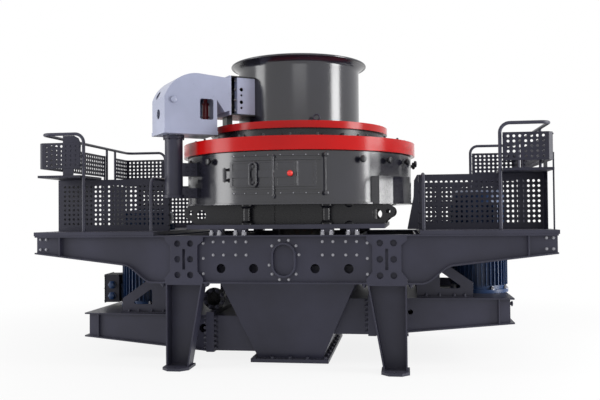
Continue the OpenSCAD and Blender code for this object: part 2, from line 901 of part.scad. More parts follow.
deck_plate_t = 8;
deck_lip = 45;
motor_clear = 40;
module deck(hole_x) {
  color([0.42, 0.42, 0.47]) difference() {
    translate([deck_in, -deck_front, girder_top]) cube([deck_end - deck_in, deck_dep, deck_t]);
    translate([deck_in + deck_lip, -deck_front + deck_lip, girder_top - 1])
      cube([deck_end - deck_in - 2 * deck_lip, deck_dep - 2 * deck_lip, deck_t - deck_plate_t + 1]);
    translate([hole_x, 0, girder_top - 1]) cylinder(h = deck_t + 2, r = motor_r + fin_h + motor_clear);
  }
}

module deck_left() { sided(-1) deck(motor_x_left); }
module deck_right() { deck(motor_x_right); }

// the guards round a motor: one perforated sheet in front of it across the deck and
// one at the deck's back edge, each with upright strips at its ends
strip_w = 26;
strip_dep = 20;
guard_margin = 68;
guard_end = deck_end - 12;
back_guard_y = deck_back - 12;
back_guard_end = 2320;
module guard_strips(x0, x1, y) {
  for (x = [x0, x1 - strip_w]) translate([x, y, deck_top]) cube([strip_w, strip_dep, guard_h]);
}

module guard_front() {
  color([0.34, 0.34, 0.38]) {
    upright(-guard_y, sheet_t) translate([deck_in, deck_top])
      perforated(guard_end - deck_in, guard_h, guard_margin, hole_pitch, hole_pitch);
    guard_strips(deck_in, guard_end, -guard_y + sheet_t - 1);
  }
}

module guard_front_left() { sided(-1) guard_front(); }
module guard_front_right() { guard_front(); }

module guards_back() {
  color([0.34, 0.34, 0.38]) for (side = [-1, 1]) sided(side) {
    upright(back_guard_y - sheet_t, sheet_t) translate([deck_in, deck_top])
      perforated(back_guard_end - deck_in, guard_h, guard_margin, hole_pitch, hole_pitch);
    guard_strips(deck_in, back_guard_end, back_guard_y - sheet_t - strip_dep + 1);
  }
}

// plain sheets along the left deck's outer edge, with an opening between them
lower_gap_from = 250;
side_gap_from = 500;
side_gap_to = 790;
module guard_side() {
  from = guard_y - strip_dep - sheet_t - 2;
  color([0.34, 0.34, 0.38]) sided(-1) crosswise(guard_end - sheet_t, sheet_t) {
    translate([-from, deck_top]) square([from + lower_gap_from, guard_h]);
    translate([side_gap_to, deck_top]) square([back_guard_y - side_gap_to, guard_h]);
  }
}

// upper sheets under the handrail, with ledges over the lower guards
ledge_t = 24;
ledge_top = guard_top + ledge_t;
ledge_w = 150;
ledge_lip = 14;
basket_low = guard_top + 92;
basket_h = 255;
basket_end = deck_end - 38;
basket_y = deck_front - 22;
basket_back = deck_back - 23;
corner_cut = 40;
basket_margin = 26;
basket_x = 51.5;
basket_z = 46;
strap_dep = 13;
lap = 1;
post_gap = 6;
side_in = corner_cut - basket_y;
module basket_sheet(w) {
  perforated(w, basket_h, basket_margin, basket_x, basket_z);
}

module basket() {
  x0 = rail_in + rail_r + post_gap;
  xb = rail_in_back + rail_r + post_gap;
  strap_back = basket_back - strip_w - sheet_t + 1;
  color([0.34, 0.34, 0.38]) {
    upright(-basket_y, sheet_t) translate([x0, basket_low]) basket_sheet(basket_end - corner_cut - x0);
    // the front corner is cut off; its strip laps into the sheets on both sides
    translate([basket_end - corner_cut - lap, lap / 2 - basket_y, basket_low]) rotate([0, 0, 45])
      cube([corner_cut * sqrt(2) + lap / 2, sheet_t, basket_h]);
    // outer side sheets, open where a ladder would reach the deck
    crosswise(basket_end - sheet_t, sheet_t) {
      translate([side_in, basket_low]) basket_sheet(side_gap_from - side_in);
      translate([side_gap_to, basket_low]) basket_sheet(basket_back - sheet_t + 1 - side_gap_to);
    }
    upright(basket_back - sheet_t, sheet_t) translate([xb, basket_low]) basket_sheet(basket_end - xb);
    // upright straps from the deck at both sides of the ladder gap and at the back
    for (y = [side_gap_from - strip_w, side_gap_to, strap_back])
      translate([basket_end - sheet_t - strap_dep + 1, y, deck_top])
        cube([strap_dep, strip_w, basket_low + basket_h - deck_top]);
    // ledges: deep in front of the guard, narrow along the side and at the back
    translate([x0, -basket_y - ledge_lip, guard_top])
      cube([basket_end - x0, basket_y + ledge_lip - guard_y + strip_dep, ledge_t]);
    translate([basket_end - ledge_w, -guard_y, guard_top])
      cube([ledge_w, guard_y + side_gap_from, ledge_t]);
    translate([xb, basket_back + ledge_lip - ledge_w, guard_top])
      cube([basket_end - xb, ledge_w, ledge_t]);
  }
}

// on the right a slim corner post and a plain plate reach down to the deck
slim_post = 13;
slim_post_rise = 70;
plate_from = 800;
module basket_right() {
  basket();
  color([0.34, 0.34, 0.38]) {
    translate([basket_end - sheet_t + 1, side_in + 2, deck_top])
      cube([slim_post, slim_post, basket_low + slim_post_rise - deck_top]);
    crosswise(basket_end - sheet_t - 2, sheet_t) translate([-plate_from, deck_top])
      square([plate_from - guard_y - 2, basket_low + 10 - deck_top]);
  }
}

// on the left a plain plate stands on the ledge behind the front sheet
module basket_left() {
  rail_z = rail_top - rail_r;
  sided(-1) {
    basket();
    color([0.34, 0.34, 0.38]) upright(3 - basket_y, sheet_t) translate([rail_in, 0]) polygon([
      [100, ledge_top - 1], [210, ledge_top - 1], [210, rail_z - 19], [93, rail_z - 19],
      [47, rail_z - 43], [27, rail_z - 86], [27, basket_low - 4], [100, basket_low - 4]
    ]);
  }
}

// round handrail: two bent ends joined by a rail along the outer side, and a low
// hoop that closes the walkway in front of the guard at its inner end
bend_r = 90;
rail_y = deck_front - 40;
rail_back = deck_back - 40;
rail_out = basket_end - 24;
gap_post_in = 20;
side_post_y = 570;
hoop_x = deck_in + 35;
module rail_bar(len) {
  cylinder(h = len, r = rail_r, $fn = 24);
}

module rail_elbow(a) {
  // a quarter bend in the XY plane from angle a, about its own centre
  rotate([0, 0, a]) rotate_extrude(angle = 90) translate([bend_r, 0]) circle(r = rail_r, $fn = 24);
}

// one bent end: post, elbow, cross rail and corner
module rail_end(x, y) {
  z = rail_top - rail_r;
  translate([x, -y, deck_top]) rail_bar(z - bend_r - deck_top);
  translate([x + bend_r, -y, z - bend_r]) rotate([90, 0, 0]) rail_elbow(90);
  translate([x + bend_r, -y, z]) rotate([0, 90, 0]) rail_bar(rail_out - x - 2 * bend_r);
  translate([rail_out - bend_r, -y + bend_r, z]) rail_elbow(-90);
}

module low_hoop() {
  z = guard_top - rail_r;
  translate([hoop_x, -rail_y, deck_top]) rail_bar(z - bend_r - deck_top);
  translate([hoop_x, bend_r - rail_y, z - bend_r]) rotate([90, 0, 90]) rail_elbow(90);
  translate([hoop_x, bend_r - rail_y, z]) rotate([-90, 0, 0]) rail_bar(rail_y - bend_r - guard_y - 1);
}

module handrail() {
  z = rail_top - rail_r;
  post_r = rail_r - 2;
  color([0.36, 0.36, 0.4]) {
    rail_end(rail_in, rail_y);
    mirror([0, 1, 0]) rail_end(rail_in_back, rail_back);
    translate([rail_out, bend_r - rail_y, z]) rotate([-90, 0, 0])
      rail_bar(rail_y + rail_back - 2 * bend_r);
    low_hoop();
    // posts at both sides of the ladder gap, and one on the ledge over the guard
    for (y = [side_gap_from + gap_post_in, side_gap_to - gap_post_in])
      translate([rail_out, y, deck_top]) cylinder(h = z - deck_top, r = post_r, $fn = 24);
    translate([rail_out, -side_post_y, ledge_top])
      cylinder(h = z - ledge_top, r = post_r, $fn = 24);
  }
}

module handrail_left() { sided(-1) handrail(); }
module handrail_right() { handrail(); }

// ---------- lid ----------

module lid_ring() {
  color([0.9, 0.12, 0.08]) translate([0, 0, lid_bottom]) difference() {
    cylinder(h = ring_h, r = ring_r, $fn = 144);
    translate([0, 0, -1]) cylinder(h = ring_h + 2, r = drum_r, $fn = 144);
  }
}

lid_plate_t = 40;
lid_wall = 30;
lid_step = 12;
crown_r = 915;
module lid_crown() {
  plate_top = ring_top - lid_step;
  plate_low = plate_top - lid_plate_t;
  tube_r = feed_r + lid_wall;
  color([0.13, 0.13, 0.15]) rotate_extrude($fn = 144) polygon([
    [feed_r, lid_bottom], [tube_r, lid_bottom], [tube_r, plate_low],
    [drum_r - lid_wall, plate_low], [drum_r - lid_wall, lid_bottom],
    [drum_r, lid_bottom], [drum_r, plate_top], [crown_r, plate_top],
    [crown_r, crown_top], [crown_r - lid_wall, crown_top], [crown_r - lid_wall, plate_top],
    [tube_r, plate_top], [tube_r, crown_top], [feed_r, crown_top]
  ]);
}

crown_plate_t = 20;
module top_ring() {
  ring_in = top_ring_r - 150;
  color([0.9, 0.12, 0.08]) translate([0, 0, crown_top]) {
    tube(top_ring_r, ring_in, top_ring_h);
    translate([0, 0, top_ring_h - crown_plate_t]) tube(ring_in + 1, feed_r, crown_plate_t);
  }
}

// a thin cylinder with a flared and rolled rim, one revolved profile
flare_h = 80;
roll_r = 12;
module hopper() {
  r_in = hopper_r - hopper_t;
  r_rim = hopper_r + rim_out - roll_r;
  z_rim = hopper_top - roll_r;
  flare_steps = 8;
  flare = [for (i = [0 : flare_steps]) let (t = i / flare_steps)
    [(r_rim - hopper_r) * pow(t, 2.2), z_rim - flare_h + flare_h * t]];
  color([0.34, 0.34, 0.38]) {
    rotate_extrude($fn = 120) {
      polygon(concat(
        [[r_in, hopper_bottom], [hopper_r, hopper_bottom]],
        [for (p = flare) [hopper_r + p[0], p[1]]],
        [for (i = [flare_steps : -1 : 0]) [r_in + flare[i][0], flare[i][1] + 3]]
      ));
      translate([r_rim - hopper_t / 2, z_rim + 1]) circle(r = roll_r, $fn = 24);
    }
    // floor with the feed hole
    translate([0, 0, hopper_bottom]) tube(r_in + 1, feed_r, 12);
  }
}

// ---------- jib ----------

// the children in the jib's own frame: X along the arm from the column's axis
module on_jib() {
  translate([-column_x, -column_y, 0]) rotate([0, 0, jib_deg]) children();
}

jib_tail = -157;
jib_front = 387;
jib_end = 521;
jib_arc_x = 190;
jib_arc_r = 365;
jib_arc_z = jib_base + 242;
// underside of the arm's nose: where it starts, and its tip
nose_z = jib_base + 353;
nose = [470, jib_base + 237];
jib_end_low = jib_base + 254;
jib_end_high = jib_base + 584;
module jib_outline(d) {
  intersection() {
    translate([jib_arc_x, jib_arc_z]) circle(r = jib_arc_r - d, $fn = 96);
    translate([jib_tail + d, jib_arc_z]) square([jib_arc_x - jib_tail - d, jib_arc_r]);
  }
  polygon([
    [jib_tail + d, jib_base + jib_plate_t], [jib_front - d, jib_base + jib_plate_t],
    [jib_front - d, nose_z + 3 * d], [nose[0] + d / 2, nose[1] + d], [jib_end, jib_end_low + d],
    [jib_end, jib_end_high - d], [jib_arc_x, jib_arc_z + jib_arc_r - d],
    [jib_arc_x, jib_arc_z + 5], [jib_tail + d, jib_arc_z + 5]
  ]);
}

window = [206, jib_base + 151, 141, 206];
window_r = 22;
module jib_window() {
  for (x = [window_r, window[2] - window_r], z = [window_r, window[3] - window_r])
    translate([window[0] + x, window[1] + z]) circle(r = window_r);
  translate([window[0] + window_r, window[1]]) square([window[2] - 2 * window_r, window[3]]);
  translate([window[0], window[1] + window_r]) square([window[2], window[3] - 2 * window_r]);
}

tail_hole_r = 50;
tail_hole_z = jib_base + 202;
crown_hole_r = 42;
crown_hole_y = 60;
crown_hole_z = jib_base + 397;
boss_x = -69;
boss_z = jib_base + 329;
boss_r = 34;
bracket_in = jib_end + 20;
bracket_low = jib_base + 212;
bracket_h = 400;
bracket_high = bracket_low + bracket_h;
bracket_t = 14;
cheek_in = bracket_in + 66;
cheek_t = 12;
cheek_flange = 70;
cheek_hole_x = cheek_in + 46;
// depth below the bracket's top, and radius, of each hole in a cheek plate
cheek_holes = [[135, 19], [193, 12], [264, 19], [322, 12]];
module jib_box() {
  half = jib_w / 2;
  color([0.72, 0.72, 0.8]) {
    on_jib() {
      // side plates
      for (s = [-1, 1]) upright(s * (half - jib_t / 2) - jib_t / 2, jib_t) difference() {
        jib_outline(0);
        jib_window();
      }
      // tail, curved top, front plate and the plate under the arm's nose
      difference() {
        upright(1 - half, jib_w - 2) difference() {
          jib_outline(0);
          jib_outline(jib_t);
        }
        // a round hole in the tail plate and one above it in the curve
        translate([jib_tail - 1, 0, tail_hole_z]) rotate([0, 90, 0])
          cylinder(h = 4 * jib_t, r = tail_hole_r);
        translate([jib_tail - 1, crown_hole_y, crown_hole_z]) rotate([0, 90, 0])
          cylinder(h = 12 * jib_t, r = crown_hole_r);
      }
      // base plate
      translate([jib_tail - 6, -half - 6, jib_base])
        cube([jib_front - jib_tail + 12, jib_w + 12, jib_plate_t]);
      // bosses of the cross pin
      for (y = [-half - 10, half - 2]) translate([boss_x, y, boss_z])
        rotate([-90, 0, 0]) cylinder(h = 12, r = boss_r);
      // end plate towards the hopper
      translate([jib_end - 1, -half, bracket_low])
        cube([bracket_in - jib_end + 1, jib_w, bracket_h]);
    }
    // the two light cheek plates of the hopper's bracket, with their adjusting holes
    difference() {
      on_jib() for (s = [-1, 1]) cheek(s);
      translate([0, 0, hopper_bottom]) cylinder(h = hopper_h, r = hopper_r, $fn = 120);
    }
  }
}

// a channel between the bracket's flanges: its web faces outwards, its end flange
// faces the jib
module cheek(s) {
  half = jib_w / 2;
  z0 = bracket_low + bracket_t;
  h = bracket_h - 2 * bracket_t;
  upright(s * (half - cheek_t / 2) - cheek_t / 2, cheek_t) difference() {
    translate([cheek_in, z0]) square([jib_reach - cheek_in - sqrt(pow(hopper_r, 2) - half * half) + 5, h]);
    for (c = cheek_holes) translate([cheek_hole_x, bracket_high - c[0]]) circle(r = c[1]);
  }
  translate([cheek_in, s * (half - cheek_flange / 2) - cheek_flange / 2, z0])
    cube([cheek_t, cheek_flange, h]);
}

jack_x = 338;
jack_r = 32;
jack_h = 306;
jack_rod_r = 20;
jack_rod_h = 60;
jack_flange = 38;
jack_flange_t = 26;
module jib_jack() {
  color([0.45, 0.05, 0.07]) on_jib() translate([jack_x, 0, jib_base + jib_plate_t]) {
    cylinder(h = jack_h, r = jack_r);
    translate([0, 0, jack_h - 1]) cylinder(h = jack_rod_h + 1, r = jack_rod_r);
    cylinder(h = jack_flange_t, r = jack_flange);
  }
}

// black frame between the jib's end plate and the hopper: two upright plates, and
// a top and a bottom flange that the cheek plates stand between
web_half = 60;
flange_half = 205;
foot_w = 120;
foot_dep = 60;
foot_in = 10;
module hopper_bracket() {
  color([0.2, 0.2, 0.22]) difference() {
    on_jib() {
      for (s = [-1, 1]) upright(s * web_half - bracket_t / 2, bracket_t)
        translate([bracket_in, bracket_low]) square([jib_reach - bracket_in, bracket_h]);
      for (z = [bracket_low, bracket_high - bracket_t])
        translate([bracket_in, -flange_half, z])
          cube([jib_reach - bracket_in, 2 * flange_half, bracket_t]);
      // foot down to the small ring
      translate([bracket_in + foot_in, -foot_w / 2, hopper_bottom])
        cube([foot_dep, foot_w, bracket_low - hopper_bottom + 1]);
    }
    translate([0, 0, hopper_bottom - 1]) cylinder(h = hopper_h, r = hopper_r, $fn = 120);
  }
}

collar_r = 105;
collar_h = 30;
column_low = drum_bottom + 79;
column_top = jib_base - column_gap;
clamp_z = [column_low, column_low + 220];
clamp_h = [100, 130];
module jib_column() {
  color([0.33, 0.33, 0.37]) difference() {
    union() {
      translate([-column_x, -column_y, column_low])
        cylinder(h = column_top - column_low, r = column_r);
      for (z = [column_low, column_top - collar_h])
        translate([-column_x, -column_y, z]) cylinder(h = collar_h, r = collar_r);
      // clamp arms to the drum
      difference() {
        on_jib() for (i = [0, 1])
          translate([0, -60, clamp_z[i]]) cube([jib_reach - drum_r + 20, 120, clamp_h[i]]);
        translate([0, 0, column_low - 100]) cylinder(h = 800, r = drum_r, $fn = 144);
      }
    }
    translate([-column_x, -column_y, column_low + 20])
      cylinder(h = column_top, r = rod_r + rod_gap);
  }
}

rod_low = column_low + 60;
module lift_rod() {
  color([0.7, 0.7, 0.72]) translate([-column_x, -column_y, rod_low])
    cylinder(h = jib_base - rod_low, r = rod_r);
}

// ---------- assembly ----------

front_girder();
back_girder();
cross_beams();
head_plates();
girder_ports();
leg_front_left();
leg_front_right();
leg_back_left();
leg_back_right();
seat_plate();
chamber_base();
drum();
side_cover();
hatch_frame();
rotor();
discharge_chute();
bearing_housing();
drain_stub();
drive_box_left();
drive_box_right();
drive_links();
hanger_plates();
motor_left();
motor_right();
terminal_boxes();
deck_left();
deck_right();
guard_front_left();
guard_front_right();
guards_back();
guard_side();
basket_left();
basket_right();
handrail_left();
handrail_right();
jib_column();
lift_rod();
lid_ring();
lid_crown();
top_ring();
hopper();
hopper_bracket();
jib_box();
jib_jack();
hatch_door();
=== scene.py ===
"""Dresses the vertical shaft impact crusher with paint and fittings, and lights it."""

import json
import logging
import math
from dataclasses import dataclass, field
from enum import Enum
from typing import Any, Iterable, Optional, Sequence, Union

import bpy
import numpy as np
from mathutils import Matrix, Vector

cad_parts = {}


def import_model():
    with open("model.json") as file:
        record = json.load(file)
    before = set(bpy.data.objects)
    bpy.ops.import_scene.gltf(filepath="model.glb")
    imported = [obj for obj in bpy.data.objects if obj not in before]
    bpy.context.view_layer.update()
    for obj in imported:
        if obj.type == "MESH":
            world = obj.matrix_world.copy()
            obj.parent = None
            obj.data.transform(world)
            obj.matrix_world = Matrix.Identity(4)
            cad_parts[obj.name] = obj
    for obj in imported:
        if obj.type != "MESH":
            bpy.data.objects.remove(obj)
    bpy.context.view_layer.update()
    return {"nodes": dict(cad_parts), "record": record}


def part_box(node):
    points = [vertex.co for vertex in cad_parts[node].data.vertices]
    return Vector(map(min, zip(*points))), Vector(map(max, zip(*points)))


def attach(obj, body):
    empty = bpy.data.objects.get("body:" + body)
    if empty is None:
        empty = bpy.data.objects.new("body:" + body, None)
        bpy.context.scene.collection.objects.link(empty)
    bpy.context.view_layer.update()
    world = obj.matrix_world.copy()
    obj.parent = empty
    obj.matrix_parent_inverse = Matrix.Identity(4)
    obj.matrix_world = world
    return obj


LOG = logging.getLogger("crusher")
Array = np.ndarray
Colour = tuple[float, float, float]

UP = np.array([0.0, 0.0, 1.0])
RIGHT = np.array([1.0, 0.0, 0.0])
FRONT = np.array([0.0, -1.0, 0.0])


# ---------------------------------------------------------------- surfaces


@dataclass
class Surface:
    """A mesh held as whole arrays: its points, and faces as rows of point numbers."""

    points: Array
    faces: list[tuple[int, ...]] = field(default_factory=list)

    def moved(self, offset: Sequence[float]) -> "Surface":
        """Returns the surface shifted by an offset."""
        return Surface(self.points + np.asarray(offset, float), self.faces)

    def turned(self, basis: Array) -> "Surface":
        """Returns the surface turned so that its X, Y and Z run along the rows of basis."""
        return Surface(self.points @ np.asarray(basis, float), self.faces)

    @staticmethod
    def joined(parts: Iterable["Surface"]) -> "Surface":
        """Joins surfaces into one.

        Args:
            parts: the surfaces, each with its own point numbers.

        Returns:
            One surface whose faces are renumbered.
        """
        listed = list(parts)
        starts = np.cumsum([0] + [len(part.points) for part in listed[:-1]])
        faces = [tuple(int(i + start) for i in face)
                 for part, start in zip(listed, starts) for face in part.faces]
        return Surface(np.concatenate([part.points for part in listed]), faces)


def grid(points: Array, close_rows: bool = False, close_columns: bool = False) -> Surface:
    """Makes quads between the neighbours of a grid of points.

    Args:
        points: (rows, columns, 3) positions of a function of two parameters.
        close_rows: joins the last row to the first.
        close_columns: joins the last column to the first.

    Returns:
        The surface, facing along column direction cross row direction.
    """
    rows, columns = points.shape[:2]
    number = np.arange(rows * columns).reshape(rows, columns)
    if close_rows:
        number = np.vstack([number, number[:1]])
    if close_columns:
        number = np.hstack([number, number[:, :1]])
    quads = np.stack([number[:-1, :-1], number[:-1, 1:], number[1:, 1:], number[1:, :-1]], -1)
    return Surface(points.reshape(-1, 3), [tuple(quad) for quad in quads.reshape(-1, 4).tolist()])


def lathe(profile: Sequence[Sequence[float]], sides: int = 24, turn: float = 0.0) -> Surface:
    """Turns a profile about Z: x = r cos(a), y = r sin(a), z = z, with a flat cap at each end.

    Args:
        profile: (radius, height) pairs from the lowest ring to the highest.
        sides: number of points round each ring.
        turn: angle of the first point in degrees.

    Returns:
        A closed surface that faces outwards when the profile climbs.
    """
    rings = np.asarray(profile, float)
    angle = np.radians(turn) + np.arange(sides) * 2 * np.pi / sides
    circle = np.stack([np.cos(angle), np.sin(angle)], -1)
    points = np.empty((len(rings), sides, 3))
    points[..., :2] = rings[:, None, :1] * circle[None]
    points[..., 2] = rings[:, 1:2]
    surface = grid(points, close_columns=True)
    last = (len(rings) - 1) * sides
    surface.faces.append(tuple(range(sides - 1, -1, -1)))
    surface.faces.append(tuple(range(last, last + sides)))
    return surface


def ring(profile: Sequence[Sequence[float]], sides: int = 48) -> Surface:
    """Turns a closed profile that doesn't meet the axis about Z, as lathe does.

    Args:
        profile: (radius, height) pairs, anticlockwise when seen with r to the right and z up.
        sides: number of steps round the axis.

    Returns:
        A closed ring.
    """
    rings = np.asarray(profile, float)
    angle = np.arange(sides) * 2 * np.pi / sides
    points = np.empty((len(rings), sides, 3))
    points[..., 0] = rings[:, :1] * np.cos(angle)
    points[..., 1] = rings[:, :1] * np.sin(angle)
    points[..., 2] = rings[:, 1:2]
    return grid(points, close_rows=True, close_columns=True)


def tube(path: Array, radius: float, across: Sequence[float], sides: int = 10,
         closed: bool = False) -> Surface:
    """Carries a circle along a path that lies in a plane.

    Each ring is path + radius (cos(a) across + sin(a) across x tangent).

    Args:
        path: (n, 3) points along the middle of the tube.
        radius: radius of the tube.
        across: the normal of the path's plane.
        sides: number of points round the tube.
        closed: joins the last ring to the first.

    Returns:
        A closed surface.
    """
    path = np.asarray(path, float)
    if closed:
        tangent = np.roll(path, -1, 0) - np.roll(path, 1, 0)
    else:
        tangent = np.gradient(path, axis=0)
    tangent /= np.linalg.norm(tangent, axis=1, keepdims=True)
    flat = np.broadcast_to(np.asarray(across, float), path.shape)
    other = np.cross(tangent, flat)
    angle = np.arange(sides) * 2 * np.pi / sides
    points = (path[:, None] + radius * (np.cos(angle)[None, :, None] * flat[:, None]
                                        + np.sin(angle)[None, :, None] * other[:, None]))
    surface = grid(points, close_rows=closed, close_columns=True)
    if not closed:
        last = (len(path) - 1) * sides
        surface.faces.append(tuple(range(sides - 1, -1, -1)))
        surface.faces.append(tuple(range(last, last + sides)))
    return surface


def prism(outline: Sequence[Sequence[float]], height: float) -> Surface:
    """Lifts a flat outline in XY by a height along Z, with a cap at each end.

    Args:
        outline: (x, y) corners, anticlockwise from above.
        height: thickness along Z.

    Returns:
        A closed surface.
    """
    flat = np.asarray(outline, float)
    count = len(flat)
    points = np.zeros((2, count, 3))
    points[..., :2] = flat
    points[1, :, 2] = height
    surface = grid(points, close_columns=True)
    surface.faces.append(tuple(range(count - 1, -1, -1)))
    surface.faces.append(tuple(range(count, 2 * count)))
    return surface


def block(low: Sequence[float], high: Sequence[float]) -> Surface:
    """Returns a box between two corners."""
    (x0, y0, z0), (x1, y1, z1) = low, high
    return prism([(x0, y0), (x1, y0), (x1, y1), (x0, y1)], z1 - z0).moved((0, 0, z0))


def facing(normals: Array) -> Array:
    """Works out bases whose third axis is each normal.

    The first axis is the horizontal one across the normal, or X where the normal is upright.

    Args:
        normals: (n, 3) unit vectors.

    Returns:
        (n, 3, 3) bases, one axis a row.
    """
    normals = np.asarray(normals, float)
    upright = np.abs(normals[:, 2:3]) > 0.99
    first = np.where(upright, RIGHT, np.cross(UP, normals))
    first = first / np.linalg.norm(first, axis=1, keepdims=True)
    return np.stack([first, np.cross(normals, first), normals], 1)


def stamped(surface: Surface, places: Array, normals: Array) -> Surface:
    """Repeats a surface at many places, its Z turned to each normal: p = place + q basis.

    Args:
        surface: the shape, standing on its own origin.
        places: (n, 3) positions.
        normals: (n, 3) unit vectors, or one vector for all.

    Returns:
        All the copies as one surface.
    """
    places = np.asarray(places, float).reshape(-1, 3)
    normals = np.broadcast_to(np.asarray(normals, float), places.shape)
    bases = facing(normals)
    points = np.einsum("pk,nkj->npj", surface.points, bases) + places[:, None]
    size = len(surface.points)
    faces = [tuple(i + copy * size for i in face)
             for copy in range(len(places)) for face in surface.faces]
    return Surface(points.reshape(-1, 3), faces)


def round_z(radius: float, degrees: Array, height: float) -> tuple[Array, Array]:
    """Places points on an upright cylinder.

    Args:
        radius: radius of the cylinder about Z.
        degrees: angles from the front, positive to the right.
        height: Z of every point.

    Returns:
        The points and their outward normals.
    """
    angle = np.radians(np.asarray(degrees, float))
    normals = np.stack([np.sin(angle), -np.cos(angle), np.zeros_like(angle)], -1)
    return normals * radius + UP * height, normals


def mirrored(points: Array, signs: Sequence[float]) -> Array:
    """Returns points with their coordinates multiplied by signs."""
    return np.asarray(points, float) * np.asarray(signs, float)


def rows(*axes: Sequence[float]) -> Array:
    """Returns every combination of three lists of coordinates as points."""
    return np.stack(np.meshgrid(*[np.asarray(axis, float) for axis in axes], indexing="ij"),
                    -1).reshape(-1, 3)


@dataclass(frozen=True)
class Bolt:
    """A hexagon head or nut on a round washer, with its stud's end where there is one."""

    across: float = 0.034
    height: float = 0.016
    washer: float = 0.024
    stud: float = 0.0

    def surface(self) -> Surface:
        """Returns the bolt standing on its origin, its axis along Z."""
        corner = self.across / math.sqrt(3)
        base = 0.004
        top = base + self.height
        parts = [lathe([(self.washer, -0.002), (self.washer, base)], 14),
                 lathe([(corner, base - 0.001), (corner, top - 0.003), (corner * 0.86, top)], 6)]
        if self.stud:
            thread = self.across * 0.32
            parts.append(lathe([(thread, top - 0.001), (thread, top + self.stud - 0.003),
                                (thread * 0.7, top + self.stud)], 10))
        return Surface.joined(parts)

    def at(self, places: Array, normals: Array) -> Surface:
        """Returns bolts at these places, standing along these normals."""
        return stamped(self.surface(), places, normals)


# ---------------------------------------------------------------- shader graph


class Wire:
    """One output of a shader graph; arithmetic on it adds Math nodes."""

    def __init__(self, graph: "Graph", socket: bpy.types.NodeSocket) -> None:
        """Keeps the socket and the graph that it belongs to."""
        self.graph = graph
        self.socket = socket

    def _math(self, operation: str, first: "Value", second: "Value") -> "Wire":
        """Adds one Math node of this operation and returns its output."""
        return self.graph.node("ShaderNodeMath", {"operation": operation}, {0: first, 1: second})

    def __add__(self, other: "Value") -> "Wire":
        """Returns self + other."""
        return self._math("ADD", self, other)

    def __radd__(self, other: "Value") -> "Wire":
        """Returns other + self."""
        return self._math("ADD", other, self)

    def __sub__(self, other: "Value") -> "Wire":
        """Returns self - other."""
        return self._math("SUBTRACT", self, other)

    def __rsub__(self, other: "Value") -> "Wire":
        """Returns other - self."""
        return self._math("SUBTRACT", other, self)

    def __mul__(self, other: "Value") -> "Wire":
        """Returns self * other."""
        return self._math("MULTIPLY", self, other)

    def __rmul__(self, other: "Value") -> "Wire":
        """Returns other * self."""
        return self._math("MULTIPLY", other, self)

    def __truediv__(self, other: "Value") -> "Wire":
        """Returns self / other."""
        return self._math("DIVIDE", self, other)

    def __pow__(self, other: "Value") -> "Wire":
        """Returns self to the power of other."""
        return self._math("POWER", self, other)

    def clamped(self) -> "Wire":
        """Returns self held between 0 and 1."""
        return self.graph.node("ShaderNodeClamp", {}, {"Value": self})

    def ramp(self, low: float, high: float) -> "Wire":
        """Returns 0 below low, 1 above high and a smooth rise between them."""
        return self.graph.node("ShaderNodeMapRange", {"interpolation_type": "SMOOTHSTEP"},
                               {"Value": self, "From Min": low, "From Max": high})


Value = Union[Wire, float, int, Sequence[float]]


